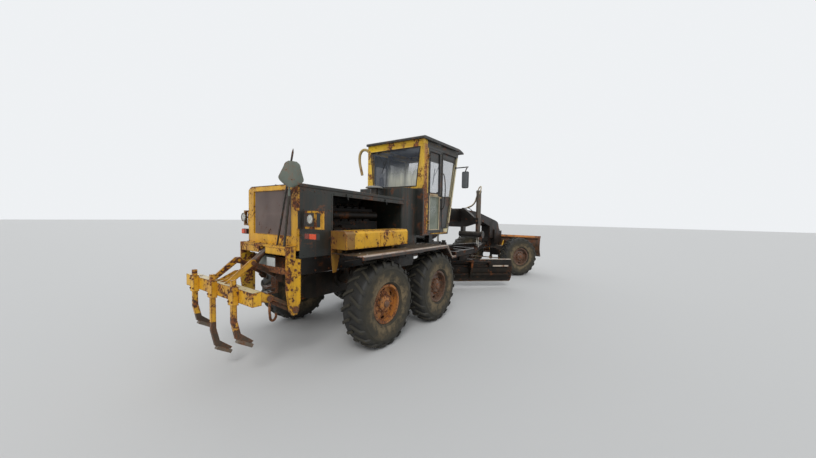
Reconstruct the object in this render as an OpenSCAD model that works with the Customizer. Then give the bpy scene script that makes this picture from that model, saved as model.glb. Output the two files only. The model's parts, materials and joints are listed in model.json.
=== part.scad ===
// Motor grader: six wheels on a box frame, open engine bay, hollow cab, turned blade,
// raised rear ripper and raised front dozer blade.
// Millimetres. X runs forward, Y to the machine's left, Z up from the ground.
// The pieces are drawn from the middle of the rear wheel group, then moved so that the
// origin is under the middle of the whole machine.

/* [Wheels] */
// Outer diameter of a tyre
tyre_d = 1260; // [1100:10:1320]
// Width of a tyre
tyre_w = 375; // [300:5:400]
// Half the track, from the middle of the machine to the middle of a tyre
wheel_y = 1000; // [980:5:1100]
// Distance between the two rear wheels on one side
tandem_pitch = 1467; // [1400:1:1600]
// Distance from the rear wheel group's pivot to the front axle
wheelbase = 6480; // [6400:10:6800]
// Radius of the rim's bead seat
bead_r = 262; // [240:1:280]
// Lugs on each half of a tyre's tread
lug_count = 20; // [16:2:24]
// Slant of a lug from straight across
lug_slant = 36; // [20:1:45]
// Width of a lug
lug_w = 52; // [35:1:60]
// Radius of the wheel spindles
spindle_r = 60; // [45:1:70]
// Steering angle at rest, to the right
steer_rest = 36; // [0:1:40]
// Half the distance between the kingpins
kingpin_y = 800; // [790:5:830]
// Length of a steering arm behind its kingpin
arm_len = 280; // [240:10:320]
// Distance of the steering arm's eye inboard of its kingpin
arm_in = 90; // [80:5:110]

/* [Frame] */
// Height of the frame rails' underside
rail_z = 1080; // [1050:5:1100]
// Height of a frame rail
rail_h = 250; // [180:5:260]
// Width of a frame rail
rail_w = 110; // [80:5:130]
// Distance from the middle to a rail's middle
rail_y = 330; // [300:5:360]
// Width of the box neck
neck_w = 300; // [240:10:340]
// Height of the neck's level underside
neck_z = 1790; // [1770:5:1850]
// Height of the neck's box section
neck_h = 290; // [240:5:320]

/* [Hood] */
// Half the hood's width
hood_y = 580; // [540:5:600]
// Rear end of the hood, behind the rear wheel group's pivot
hood_rear = 1800; // [1750:5:1850]
// Height of the hood's top at the rear
hood_top = 2290; // [2200:5:2330]
// Fall of the hood's top towards the cab
hood_fall = 70; // [0:5:90]
// Start of the open bay, behind the pivot
bay_rear = 1270; // [1200:5:1350]
// End of the open bay, ahead of the pivot
bay_front = 400; // [350:5:450]
// Thickness of the hood's sheets
sheet_t = 20; // [10:1:30]

/* [Cab] */
// Rear wall of the cab, ahead of the pivot
cab_x = 830; // [810:5:860]
// Half the cab's width
cab_y = 720; // [660:5:760]
// Underside of the cab
cab_z = 1530; // [1500:5:1560]
// Underside of the roof
roof_z = 3385; // [3300:5:3450]
// Height from the top of the windows and doors to the roof
header_h = 145; // [110:5:160]
// Length of the cab's floor
floor_len = 1020; // [980:5:1060]
// Forward lean of the cab's front over its height
front_lean = 440; // [380:5:480]
// Width of a cab pillar
pillar_w = 60; // [45:5:75]
// Thickness of the cab's walls
wall_t = 40; // [30:1:50]
// Thickness of the window glass
glass_t = 8; // [5:1:10]
// Width of the side door
door_w = 500; // [460:5:520]

/* [Blade] */
// Middle of the turntable, ahead of the rear wheel group's pivot
circle_x = 3100; // [3050:5:3150]
// Outer radius of the turntable's ring
circle_r = 620; // [580:5:640]
// Turn of the blade, right end forward
blade_turn = 42; // [35:1:45]
// Half the blade's length
blade_half = 1830; // [1600:10:1835]
// Height of the blade with its cutting edge
blade_h = 620; // [560:5:630]
// Height of the cutting edge above the ground
blade_z = 160; // [140:5:200]
// Radius of the blade's curve
blade_r = 470; // [440:5:520]
// Distance of the drawbar's ball behind the front axle
ball_back = 680; // [650:5:730]
// Height of the drawbar's ball
ball_z = 1020; // [1000:5:1040]
// Place of the lift cylinders along the machine
lift_x = 3750; // [3700:5:3800]
// Distance from the middle to a lift cylinder
lift_y = 620; // [600:5:640]

/* [Ripper] */
// Rear end of the ripper, behind the rear wheel group's pivot
ripper_rear = 2600; // [2550:5:2650]
// Half the length of the ripper's beam
ripper_half = 840; // [800:5:900]
// Distance between the ripper's shanks
shank_pitch = 500; // [450:10:600]
// Length of the ripper's swinging arms
ripper_arm_len = 400; // [380:5:410]
// Rise of the ripper's arms as parked
ripper_rise = 32; // [20:1:35]

/* [Dozer] */
// Half the width of the front blade
dozer_half = 1435; // [1430:5:1500]
// Height of the front blade
dozer_h = 720; // [650:5:760]
// Height of the front blade's lower edge
dozer_z = 560; // [540:5:600]
// Distance from the front axle to the front blade's front edge
dozer_reach = 960; // [950:5:1020]
// Length of the front blade's swinging arms
dozer_arm_len = 400; // [380:5:410]
// Rise of the front blade's arms as parked
dozer_rise = 45; // [40:1:47]

/* [Hidden] */
$fn = 48;

// Small gap of a piece that seats on another, and of a pin in its bore
seat_gap = 0.3;
run_gap = 0.05;
// Round rear lamps, right and left of the machine's middle
lamp_y = [-839, 720];
lamp_z = 1844;
cleaner_x = 230;
cleaner_r = 125;
cleaner_h = 235;
lamp_r = 64;
lamp_frame_z = [1720, 1945];
dozer_front = wheelbase + dozer_reach;
ball_x = wheelbase - ball_back;
wheel_r = tyre_d / 2;
half_pitch = tandem_pitch / 2;
mid_x = (dozer_front - ripper_rear) / 2;
rail_top = rail_z + rail_h;
// Block at the rails' front end, which the neck stands on
neck_block = [1700, 2060];
neck_top = neck_z + neck_h;
saddle_half_x = 70;
case_in = 600;
case_out = 790;
hub_back = 80;
spindle_end = 50;
cab_front = cab_x + floor_len;
cab_h = roof_z - cab_z;
roof_h = 60;
lean_rate = front_lean / cab_h;
ring_z = blade_z + blade_h + 80;
ring_h = 80;
ring_top = ring_z + ring_h;
drawbar_z = ring_top + 12;
drawbar_h = 120;
blade_fwd = 60;
// Arms under the turntable, the drum that carries them and the blade's shift cylinder
arm_y = 640;
drum_h = 60;
rail_low = 300;
shift_pin = [-170, 720];
rail_back = -112;
rail_high = 590;
rail_t = 46;
lift_rod_r = 35;
lift_barrel_r = 65;
barrel_low = neck_z - 340;
barrel_len = 1170;
door_x = cab_x + pillar_w + 110;
door_z0 = cab_z + 40;
door_z1 = roof_z - header_h;
waist_z = 2340;
// Half width of the rear window's lower and upper edge, and the height of its lower edge
rear_window = [550, 630];
rear_window_z = 2490;
// Gap round a door, width of its frame, and the place, pin and heights of its hinges
door_gap = 6;
door_frame_w = 52;
hinge_at = [door_x + door_gap, cab_y + 14];
hinge_pin_r = 6;
hinge_z = [1760, 3040];
hinge_h = 64;
lug_t = 12;
// Pins of the ripper's arms and top links, and how far the parked beam lies from them
ripper_pin = [-1850, 700];
ripper_link_rise = 380;
ripper_arm_y = 500;
ripper_link_y = 160;
ripper_swing = [-ripper_arm_len * cos(ripper_rise), ripper_arm_len * sin(ripper_rise)];
beam_pin = ripper_pin + ripper_swing;
beam_z = beam_pin[1] + 98;
ripper_top = [-1900, 1420];
ripper_eye = [-2250, beam_z + 140];
bracket_top = 1500;
// Pins of the front blade's arms and links
dozer_pin_x = wheelbase + 417;
dozer_pin_z = [450, 760];
dozer_arm_y = 230;
dozer_ear = [52, 72];
dozer_swing = [dozer_arm_len * cos(dozer_rise), dozer_arm_len * sin(dozer_rise)];
dozer_top = [wheelbase + 480, 1400];
dozer_eye = [dozer_pin_x, dozer_pin_z[0]] + dozer_swing / 2;

// Height of the hood's top at a place along the machine
function hood_z(x) = hood_top - hood_fall * (x + hood_rear) / (hood_rear + bay_front);
// Front of the cab at a height
function front_x(z) = cab_front + (z - cab_z) * lean_rate;

module at_machine() {
    translate([-mid_x, 0, 0]) children();
}

module both_sides() {
    children();
    mirror([0, 1, 0]) children();
}

module block(x, y, z) {
    translate([x[0], y[0], z[0]]) cube([x[1] - x[0], y[1] - y[0], z[1] - z[0]]);
}

// An outline in X and Z, from one Y to another
module side_shape(y) {
    translate([0, y[1], 0]) rotate([90, 0, 0]) linear_extrude(y[1] - y[0]) children();
}

// An outline in Y and Z, from one X to another
module end_shape(x) {
    translate([x[0], 0, 0]) rotate([90, 0, 90]) linear_extrude(x[1] - x[0]) children();
}

module pin_y(x, z, r, y) {
    translate([x, y[1], z]) rotate([90, 0, 0]) cylinder(h = y[1] - y[0], r = r);
}

module pin_x(y, z, r, x) {
    translate([x[0], y, z]) rotate([0, 90, 0]) cylinder(h = x[1] - x[0], r = r);
}

// A round bar from one point to another
module bar(a, b, r) {
    d = b - a;
    translate(a) rotate([0, acos(d[2] / norm(d)), atan2(d[1], d[0])]) cylinder(h = norm(d), r = r);
}

// A square bar from one point to another in the X and Z plane
module flat_bar(a, b, h, y) {
    d = b - a;
    translate([a[0], 0, a[1]]) rotate([0, -atan2(d[1], d[0]), 0])
        block([0, norm(d)], y, [-h / 2, h / 2]);
}

// Places a wheel drawn about Z, outer side up
module at_wheel(x, side) {
    translate([x, side * wheel_y, wheel_r]) rotate([-90 * side, 0, 0]) children();
}

module at_front_wheel(side) {
    translate([wheelbase, side * kingpin_y, 0]) rotate([0, 0, -steer_rest])
        translate([-wheelbase, -side * kingpin_y, 0]) at_wheel(wheelbase, side) children();
}

module tyre() {
    half = tyre_w / 2;
    pitch = 360 / lug_count;
    lug_len = half / cos(lug_slant);
    // columns: share of the tyre's height from bead to tread, share of the half width
    outline = [[0, 0.67], [0.07, 0.67], [0.1, 0.85], [0.43, 1], [0.7, 0.97], [0.84, 0.8], [0.87, 0.3]];
    tall = wheel_r - bead_r;
    low = [for (p = outline) [bead_r + p[0] * tall, -p[1] * half]];
    high = [for (i = [len(outline) - 1:-1:0]) [bead_r + outline[i][0] * tall, outline[i][1] * half]];
    color([0.16, 0.15, 0.14]) union() {
        rotate_extrude($fn = 144) polygon(concat(low, high));
        intersection() {
            translate([0, 0, -half]) cylinder(h = tyre_w, r = wheel_r, $fn = 144);
            for (side = [-1, 1], i = [0:lug_count - 1])
                rotate([0, 0, (i + (side > 0 ? 0 : 0.5)) * pitch])
                    translate([wheel_r - 0.16 * tall, 0, side * (half * 0.54)])
                        rotate([side * lug_slant, 0, 0])
                            cube([0.34 * tall, lug_w, lug_len], center = true);
        }
    }
}

module rim(tint) {
    flange = 24;
    wide = 0.67 * tyre_w / 2 + seat_gap;
    out = bead_r - seat_gap;
    disc_z = 45;
    color(tint) difference() {
        union() {
            rotate_extrude() polygon([[out - 12, -wide - 14], [out + flange, -wide - 14],
                [out + flange, -wide], [out, -wide], [out, wide], [out + flange, wide],
                [out + flange, wide + 14], [out - 12, wide + 14], [out - 12, disc_z + 14],
                [205, disc_z + 14], [150, disc_z + 34], [118, disc_z + 34], [112, 112], [80, 128],
                [0, 128], [0, -hub_back], [125, -hub_back], [125, disc_z + 20], [145, disc_z + 20],
                [200, disc_z], [out - 12, disc_z]]);
        }
        translate([0, 0, -hub_back - 1]) cylinder(h = hub_back + spindle_end + 1, r = spindle_r + run_gap);
        for (i = [0:5]) rotate([0, 0, i * 60 + 30]) {
            for (side = [-1, 1]) translate([212, side * 18, disc_z - 10]) cylinder(h = 50, r = 22);
            translate([190, -18, disc_z - 10]) cube([44, 36, 50]);
        }
    }
}

module main_frame() {
    color([0.25, 0.24, 0.2]) union() {
        both_sides() block([-1770, neck_block[1]], [rail_y - rail_w / 2, rail_y + rail_w / 2],
            [rail_z, rail_top]);
        for (x = [-1700, -1240, 1270])
            block([x, x + 120], [-rail_y, rail_y], [rail_z + 40, rail_top - 40]);
        block(neck_block, [-rail_y, rail_y], [rail_z, rail_top]);
    }
}

module neck() {
    head = [wheelbase - 600, wheelbase + 330];
    foot = rail_top + seat_gap;
    color([0.25, 0.24, 0.2]) union() {
        // foot plate, slope, level box and head
        block([neck_block[0] + 20, neck_block[1] - 20], [-260, 260], [foot, foot + 35]);
        side_shape([-neck_w / 2, neck_w / 2]) polygon([[neck_block[0] + 40, foot + 1],
            [neck_block[1] - 40, foot + 1],
            [neck_block[1] - 5, foot + 3], [2300, rail_top + 60], [3050, neck_z], [4500, neck_z],
                [5250, neck_z - 30], [head[0], neck_z - 180],
            [head[0], 1210], [head[1], 1210], [head[1], neck_z - 320], [wheelbase + 180, neck_z - 60],
            [wheelbase, neck_top - 290], [5000, neck_top - 40], [4500, neck_top],
            [2880, neck_top], [2180, rail_top + 230], [1900, rail_top + 140],
                [neck_block[0] + 40, rail_top + 70]]);
        side_shape([-190, 190]) polygon([[wheelbase - 250, 1500], [wheelbase - 250, 1060],
            [wheelbase - 150, 960], [wheelbase + 150, 960], [wheelbase + 250, 1060],
                [wheelbase + 250, 1500]]);
        // socket of the drawbar's ball
        difference() {
            side_shape([-100, 100]) polygon([[ball_x + 10, ball_z + 100], [ball_x + 10, ball_z - 95],
                [wheelbase - 249, ball_z - 95], [wheelbase - 249, 1300], [ball_x + 110, 1300]]);
            translate([ball_x, 0, ball_z]) sphere(r = 70 + seat_gap);
        }
        // nose plates that carry the front blade
        both_sides() difference() {
            side_shape([130, 170]) polygon([[head[1] - 20, 1440], [head[1] - 20, 560],
                [dozer_pin_x - 60, 400],
                [dozer_pin_x + 50, 400], [dozer_pin_x + 50, 800], [dozer_top[0] + 50, 1300],
                    [dozer_top[0] + 50, 1440]]);
            for (z = dozer_pin_z) pin_y(dozer_pin_x, z, 25 + run_gap, [120, 180]);
        }
        block([head[1] - 20, head[1] + 30], [-131, 131], [560, 1440]);
        // ears of the front blade's cylinder
        both_sides() block([head[1] + 29, dozer_top[0] + 40], dozer_ear, [1350, 1440]);
        // tow pin ears under the nose
        for (z = [570, 650]) difference() {
            block([head[1] + 29, head[1] + 110], [-60, 60], [z, z + 25]);
            translate([head[1] + 70, 0, z - 5]) cylinder(h = 35, r = 22);
        }
    }
}

module rear_bracket() {
    color([0.85, 0.68, 0.1]) union() {
        both_sides() difference() {
            side_shape([535, 565]) polygon([[-1845, bracket_top], [-1970, bracket_top], [-1970, 960],
                [-1930, 700],
                [-1880, 630], [-1820, 630], [-1770, 800], [-1770, 1330], [-1845, 1345]]);
            pin_y(ripper_pin[0], ripper_pin[1], 30 + run_gap, [530, 570]);
        }
        block([-1800, -1770 - seat_gap], [-536, 536], [1100, 1320]);
        block([-1960, -1846], [-536, 536], [bracket_top - 30, bracket_top]);
        both_sides() difference() {
            side_shape([ripper_link_y + 26, ripper_link_y + 46]) polygon([[-1800, 1000], [-1860, 1010],
                [-1900, 1060], [-1890, 1120], [-1799, 1200]]);
            pin_y(ripper_pin[0], ripper_pin[1] + ripper_link_rise, 20 + run_gap,
                [ripper_link_y + 20, ripper_link_y + 50]);
        }
        both_sides() difference() {
            side_shape([44, 64]) polygon([[-1846, 1380], [-1846, bracket_top - 29],
                [-1950, bracket_top - 29], [-1950, 1395],
                [-1920, 1375]]);
            pin_y(ripper_top[0], ripper_top[1], 20 + run_gap, [40, 70]);
        }
        // tow pin ears
        for (z = [820, 900]) difference() {
            block([-1930, -1790], [-60, 60], [z, z + 25]);
            translate([-1880, 0, z - 5]) cylinder(h = 35, r = 25);
        }
        block([-1800, -1770 - seat_gap], [-60, 60], [820, 1101]);
    }
}

module front_axle() {
    end = kingpin_y - 80;
    color([0.3, 0.25, 0.18]) difference() {
        union() {
            end_shape([wheelbase - 90, wheelbase + 90]) polygon([[-end, 540], [-420, 760], [-150, 850],
                [150, 850], [420, 760], [end, 540], [end, 720], [420, 930], [150, 960 - seat_gap],
                [-150, 960 - seat_gap], [-420, 930], [-end, 720]]);
            for (side = [-1, 1]) translate([wheelbase, side * kingpin_y, 530]) cylinder(h = 200, r = 85);
        }
        for (side = [-1, 1]) translate([wheelbase, side * kingpin_y, 520])
            cylinder(h = 220, r = 30 + run_gap);
    }
}

module knuckle(side) {
    color([0.3, 0.25, 0.18]) translate([wheelbase, side * kingpin_y, 0]) rotate([0, 0, -steer_rest])
        union() {
        cylinder_z = [440, 820];
        translate([0, 0, cylinder_z[0]]) cylinder(h = cylinder_z[1] - cylinder_z[0], r = 30);
        for (z = [450, 736]) translate([0, 0, z]) cylinder(h = 74, r = 80);
        block([-70, 70], side > 0 ? [88, 112] : [-112, -88], [450, 810]);
        for (z = [450, 736]) block([-60, 60], side > 0 ? [0, 100] : [-100, 0], [z, z + 74]);
        translate([0, side * 88, wheel_r]) rotate([-90 * side, 0, 0])
            cylinder(h = wheel_y - kingpin_y + spindle_end - 98, r = spindle_r);
        // steering arm
        block([-arm_len - 20, -20], side > 0 ? [-arm_in - 20, -20] : [20, arm_in + 20], [455, 495]);
    }
}

// End of a knuckle's steering arm at rest
function arm_end(side) = [wheelbase - arm_len * cos(steer_rest) - side * arm_in * sin(steer_rest),
    side * kingpin_y + arm_len * sin(steer_rest) - side * arm_in * cos(steer_rest)];

module tie_rod() {
    z = 525;
    a = arm_end(-1);
    b = arm_end(1);
    color([0.3, 0.28, 0.25]) union() {
        bar([a[0], a[1], z], [b[0], b[1], z], 18);
        for (p = [a, b]) translate([p[0], p[1], 495 + seat_gap]) cylinder(h = 50, r = 24);
    }
}

module rear_axle() {
    color([0.22, 0.2, 0.18]) union() {
        translate([0, 0, 700]) rotate([90, 0, 0]) cylinder(h = 320, r = 270, center = true);
        pin_y(0, 700, 120, [-case_in, case_in]);
        both_sides() block([-140, 140], [rail_y - 60, rail_y + 60], [700, rail_z - seat_gap]);
        pin_x(0, 760, 90, [150, 420]);
    }
}

module tandem_cases() {
    color([0.5, 0.36, 0.16]) both_sides() {
        difference() {
            union() {
                for (x = [-half_pitch, half_pitch]) pin_y(x, wheel_r, 215, [case_in, case_out]);
                block([-half_pitch, half_pitch], [case_in, case_out], [wheel_r - 215, wheel_r + 215]);
                pin_y(0, 700, 190, [case_in - 40, case_in + 10]);
            }
            pin_y(0, 700, 120 + seat_gap, [case_in - 60, case_in]);
        }
        for (x = [-half_pitch, half_pitch]) {
            pin_y(x, wheel_r, 190, [case_out, case_out + 90]);
            pin_y(x, wheel_r, spindle_r, [case_out + 80, wheel_y + spindle_end - 10]);
        }
    }
}

module gearbox() {
    color([0.2, 0.19, 0.18]) union() {
        block([430, 1250], [-240, 240], [880, 1320]);
        block([250, 431], [-200, 200], [1000, 1320]);
        both_sides() block([600, 700], [239, rail_y - rail_w / 2 - seat_gap], [1150, 1250]);
        pin_x(0, 1000, 70, [1249, 1420]);
    }
}

module engine() {
    // columns: distance of a cylinder behind the pivot
    heads = [for (i = [0:5]) -1010 + i * 165];
    color([0.17, 0.17, 0.15]) union() {
        // crankcase and sump
        block([-1060, 60], [-230, 230], [1250, 1800]);
        side_shape([-150, 150]) polygon([[-1000, 1251], [0, 1251], [0, 1150], [-500, 1150],
            [-600, 1050], [-950, 1050]]);
        // flywheel housing
        pin_x(0, 1400, 260, [59, 190]);
        pin_x(0, 1300, 180, [189, 250 - seat_gap]);
        for (x = heads) {
            block([x - 68, x + 68], [-190, 190], [1799, 1960]);
            pin_y(x, 1900, 38, [-300, -180]);
            translate([x, 60, 1955]) cylinder(h = 60, r = 30);
        }
        block([-1050, 30], [-140, 140], [1950, 2010]);
        // exhaust manifold on the right, inlet on the left
        pin_x(-320, 1900, 62, [-1080, -110]);
        pin_x(290, 1880, 70, [-1040, 20]);
        for (x = heads) pin_y(x, 1880, 30, [180, 290]);
        // filters, starter and alternator
        for (x = [-760, -600]) translate([x, -310, 1450]) cylinder(h = 240, r = 60);
        block([-860, -520], [-320, -229], [1660, 1740]);
        pin_x(-310, 1420, 75, [-200, 61]);
        pin_x(-300, 1640, 80, [-1060, -900]);
        block([-1060, -900], [-260, -225], [1600, 1680]);
        // pulleys and fan
        pin_x(0, 1400, 110, [-1110, -1059]);
        pin_x(0, 1760, 60, [-1220, -1059]);
        for (i = [0:5]) translate([-1180, 0, 1760]) rotate([i * 60, 0, 0]) rotate([0, 0, 25])
            block([-6, 6], [-55, 55], [40, 300]);
        // mounting feet
        both_sides() for (x = [-950, -60]) block([x, x + 110], [229, rail_y + 20],
            [rail_top + seat_gap, rail_top + 60]);
    }
}

module radiator_frame() {
    low = 1440;
    high = 2275;
    color([0.86, 0.68, 0.12]) union() {
        end_shape([-hood_rear - 40, -hood_rear - seat_gap]) difference() {
            polygon([[-hood_y, low], [hood_y, low], [hood_y, high - 40], [hood_y - 60, high],
                [60 - hood_y, high], [-hood_y, high - 40]]);
            translate([-460, 1620]) square([900, 590]);
        }
        // lamp frames beside the radiator
        for (side = [-1, 1]) difference() {
            block([-hood_rear + 20, -hood_rear + 60],
                side > 0 ? [hood_y + 19, 840] : [-980, -hood_y - 19], lamp_frame_z);
            block([-hood_rear + 10, -hood_rear + 70], side > 0 ? [hood_y + 60, 812] : [-952, -hood_y - 60],
                lamp_frame_z + [28, -28]);
        }
        for (y = lamp_y) block([-hood_rear + 25, -hood_rear + 45], [y - 15, y + 15],
            lamp_frame_z + [27, -27]);
        both_sides() {
            block([-hood_rear - 40, -hood_rear - 1], [hood_y - 10, hood_y + 20], lamp_frame_z);
            block([-hood_rear - 2, -hood_rear + 60], [hood_y + seat_gap, hood_y + 20], lamp_frame_z);
        }
    }
}

module radiator_grille() {
    slats = 22;
    gap = 900 / slats;
    color([0.45, 0.42, 0.38]) union() {
        block([-hood_rear + 40, -hood_rear + 130], [-470, 450], [1560, 2240]);
        for (i = [0:slats - 1])
            block([-hood_rear - 30, -hood_rear + 41], [-448 + i * gap, -436 + i * gap],
                [1620 + seat_gap, 2210 - seat_gap]);
        for (z = [1622, 1900, 2190]) block([-hood_rear - 20, -hood_rear + 10], [-450, 430], [z, z + 16]);
    }
}

module hood() {
    color([0.13, 0.14, 0.12]) union() {
        // top sheet with its rounded shoulders and side rail
        difference() {
            side_shape([-hood_y, hood_y]) polygon([[-hood_rear, hood_z(-hood_rear)],
                [bay_front, hood_z(bay_front)], [bay_front, hood_z(bay_front) - 105],
                [-hood_rear, hood_z(-hood_rear) - 105]]);
            side_shape([-hood_y + sheet_t, hood_y - sheet_t])
                polygon([[-hood_rear - 1, hood_z(-hood_rear) - sheet_t],
                [bay_front + 1, hood_z(bay_front) - sheet_t], [bay_front + 1, hood_z(bay_front) - 200],
                [-hood_rear - 1, hood_z(-hood_rear) - 200]]);
            both_sides() side_shape([hood_y - 12, hood_y + 1])
                polygon([[-hood_rear - 1, hood_z(-hood_rear) - 40],
                [bay_front + 1, hood_z(bay_front) - 40], [bay_front + 1, hood_z(bay_front) - 55],
                [-hood_rear - 1, hood_z(-hood_rear) - 55]]);
        }
        // left side, closed by a sheet
        side_shape([hood_y - sheet_t, hood_y]) polygon([[-bay_rear - 1, 1640], [bay_front, 1640],
            [bay_front, hood_z(bay_front) - 60], [-bay_rear - 1, hood_z(-bay_rear) - 60]]);
        both_sides() {
            // rear side sheet
            side_shape([hood_y - sheet_t, hood_y]) polygon([[-hood_rear, 1340], [-bay_rear, 1340],
                [-bay_rear, hood_z(-bay_rear) - 60], [-hood_rear, hood_z(-hood_rear) - 60]]);
            // thin post at the start of the bay
            block([-bay_rear - 25, -bay_rear], [hood_y - 60, hood_y - sheet_t + 1], [1340, 2190]);
            // sill under the bay
            block([-bay_rear - 1, bay_front], [hood_y - 50, hood_y - 12], [1640, 1680]);
            block([-bay_rear - 25, bay_front], [rail_y + 30, hood_y - 30],
                [rail_top + seat_gap, rail_top + 30]);
            for (x = [-bay_rear - 25, bay_front - 60])
                block([x, x + 60], [hood_y - 60, hood_y - 30], [rail_top + 10, 1660]);
        }
    }
}

module oil_tank() {
    corner = 90;
    color([0.16, 0.17, 0.15]) union() {
        translate([0, 0, rail_top + seat_gap]) linear_extrude(2430 - rail_top) union() {
            translate([bay_front + seat_gap, -hood_y + corner])
                square([cab_x - bay_front - 2 * seat_gap, 2 * (hood_y - corner)]);
            translate([bay_front + corner, -hood_y])
                square([cab_x - bay_front - corner - seat_gap, 2 * hood_y]);
            for (side = [-1, 1]) translate([bay_front + corner + seat_gap, side * (hood_y - corner)])
                circle(r = corner);
        }
        translate([620, 250, 2430]) cylinder(h = 40, r = 55);
    }
}

module air_cleaner() {
    foot_r = 85;
    base = hood_z(cleaner_x - foot_r) + seat_gap;
    color([0.35, 0.37, 0.36]) translate([cleaner_x, 0, base]) union() {
        cylinder(h = 12, r = foot_r);
        cylinder(h = cleaner_h - 50, r = 70);
        translate([0, 0, cleaner_h - 55]) cylinder(h = 25, r = cleaner_r);
        translate([0, 0, cleaner_h - 31]) cylinder(h = 31, r1 = cleaner_r - 5, r2 = cleaner_r - 70);
    }
}

module side_boxes() {
    color([0.85, 0.66, 0.1]) both_sides() union() {
        end_shape([-1300, 120]) polygon([[hood_y + seat_gap, 1430], [880, 1430], [880, 1640], [850, 1680],
            [hood_y + seat_gap, 1680]]);
        for (x = [-1240, -60]) block([x, x + 60], [hood_y + 60, hood_y + 100], [1372 + seat_gap, 1431]);
        // tapering bracket under the rear end
        side_shape([hood_y + 4, hood_y + 16]) polygon([[-1300, 1431], [-1300, 1300], [-1270, 1090],
            [-1210, 1090],
            [-1150, 1300], [-1150, 1431]]);
    }
}

module fenders() {
    t = 12;
    color([0.5, 0.45, 0.38]) both_sides() union() {
        side_shape([600, 1200]) polygon([[-1300, 1360], [960, 1360], [1160, 1130], [1330, 1130],
            [1330, 1130 + t],
            [1166, 1130 + t], [966, 1360 + t], [-1300, 1360 + t]]);
        side_shape([1200 - t, 1200]) polygon([[-1300, 1320], [945, 1320], [1160, 1105], [1330, 1105],
            [1330, 1131],
            [1161, 1131], [961, 1361], [-1300, 1361]]);
        for (x = [-1120, -60, cab_x + 8]) {
            block([x, x + 50], [rail_y + rail_w / 2 + seat_gap, 640], [rail_top - 40, rail_top - 5]);
            block([x, x + 50], [605, 640], [rail_top - 40, 1361]);
            block([x, x + 50], [619, 1201 - t], [1330, 1361]);
        }
        block([1200, 1250], [rail_y + rail_w / 2 + seat_gap, 640], [1100, 1131]);
    }
}

module cab_lower() {
    color([0.12, 0.12, 0.12]) union() {
        block([cab_x, cab_front - 1], [-cab_y, cab_y], [cab_z, door_z0]);
        block([cab_x, cab_x + wall_t], [-cab_y, cab_y], [door_z0 - 1, 2440]);
        side_shape([-cab_y, cab_y]) polygon([[cab_front - wall_t, cab_z], [cab_front, cab_z],
            [front_x(1760), 1760], [front_x(1760) - wall_t, 1760]]);
        for (x = [cab_x + 60, cab_front - 240])
            both_sides() block([x, x + 140], [rail_y - 60, rail_y + 60], [rail_top + seat_gap, cab_z + 1]);
    }
}

// Side view of the cab between two heights, a step inside its outline
module cab_side(z, inset) {
    polygon([[cab_x + inset, z[0]], [front_x(z[0]) - inset, z[0]], [front_x(z[1]) - inset, z[1]],
        [cab_x + inset, z[1]]]);
}

// The rear window, narrower below, a step inside its outline
module rear_pane(inset) {
    half = rear_window - [inset, inset];
    z = [rear_window_z + inset, door_z1 - inset];
    polygon([[-half[0], z[0]], [half[0], z[0]], [half[1], z[1]], [-half[1], z[1]]]);
}

module cab_frame() {
    z0 = door_z0 + seat_gap;
    mid_pillar = door_x + door_w;
    color([0.85, 0.66, 0.12]) both_sides() for (z = hinge_z) translate([0, 0, z]) {
        for (low = [0, hinge_h - lug_t]) translate([0, 0, low]) linear_extrude(lug_t)
            polygon([[door_x - 30, cab_y - 1], [door_x - 2, cab_y - 1], [door_x - 2, hinge_at[1] - 9],
                [hinge_at[0] + 8, hinge_at[1] - 9], [hinge_at[0] + 8, hinge_at[1] + 10],
                    [door_x - 30, hinge_at[1] + 10]]);
        translate([hinge_at[0], hinge_at[1], 0]) cylinder(h = hinge_h, r = hinge_pin_r);
    }
    color([0.85, 0.66, 0.12]) difference() {
        side_shape([-cab_y, cab_y]) cab_side([z0, roof_z], 0);
        // inner room
        side_shape([wall_t - cab_y, cab_y - wall_t]) cab_side([z0 - 1, roof_z + 1], wall_t);
        // lower walls that are separate
        block([cab_x - 1, cab_x + wall_t + 1], [-cab_y + 150, cab_y - 150], [z0 - 1, 2440 + seat_gap]);
        block([cab_x - 1, cab_x + wall_t + seat_gap], [-cab_y - 1, cab_y + 1], [z0 - 1, 2440 + seat_gap]);
        side_shape([-cab_y - 1, cab_y + 1]) polygon([[front_x(z0) - wall_t - seat_gap, z0 - 1],
            [front_x(z0) + 90, z0 - 1], [front_x(1760) + 90, 1760 + seat_gap],
            [front_x(1760) - wall_t - seat_gap, 1760 + seat_gap]]);
        end_shape([cab_x - 1, cab_x + wall_t + 1]) rear_pane(0);
        // front windows
        end_shape([cab_front - 100, cab_front + front_lean + 10])
            polygon([[-640, 1800], [640, 1800], [640, 2300], [-640, 2300]]);
        end_shape([cab_front - 100, cab_front + front_lean + 10])
            polygon([[-640, 2350], [640, 2350], [640, door_z1], [-640, door_z1]]);
        both_sides() {
            // door way
            block([door_x, mid_pillar], [cab_y - wall_t - 1, cab_y + 1], [z0 - 1, door_z1]);
            // front side window and the panel under it
            side_shape([cab_y - wall_t - 1, cab_y + 1]) polygon([[mid_pillar + pillar_w, 1660],
                [front_x(1660) - 70, 1660], [front_x(door_z1) - 70, door_z1],
                    [mid_pillar + pillar_w, door_z1]]);
        }
    }
}

// A thin roof whose front droops as a visor
module cab_roof() {
    front = front_x(roof_z);
    low = roof_z + seat_gap;
    top = roof_z + roof_h;
    color([0.12, 0.12, 0.12]) side_shape([-cab_y - 20, cab_y + 20])
        polygon([[cab_x - 40, low], [front, low], [front + 90, roof_z - 2], [front + 225, roof_z - 26],
            [front + 232, roof_z + 2], [front + 150, roof_z + 28], [front + 40, top - 6], [front - 60, top],
            [cab_x + 30, top], [cab_x - 25, top - 8], [cab_x - 40, top - 24]]);
}

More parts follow.
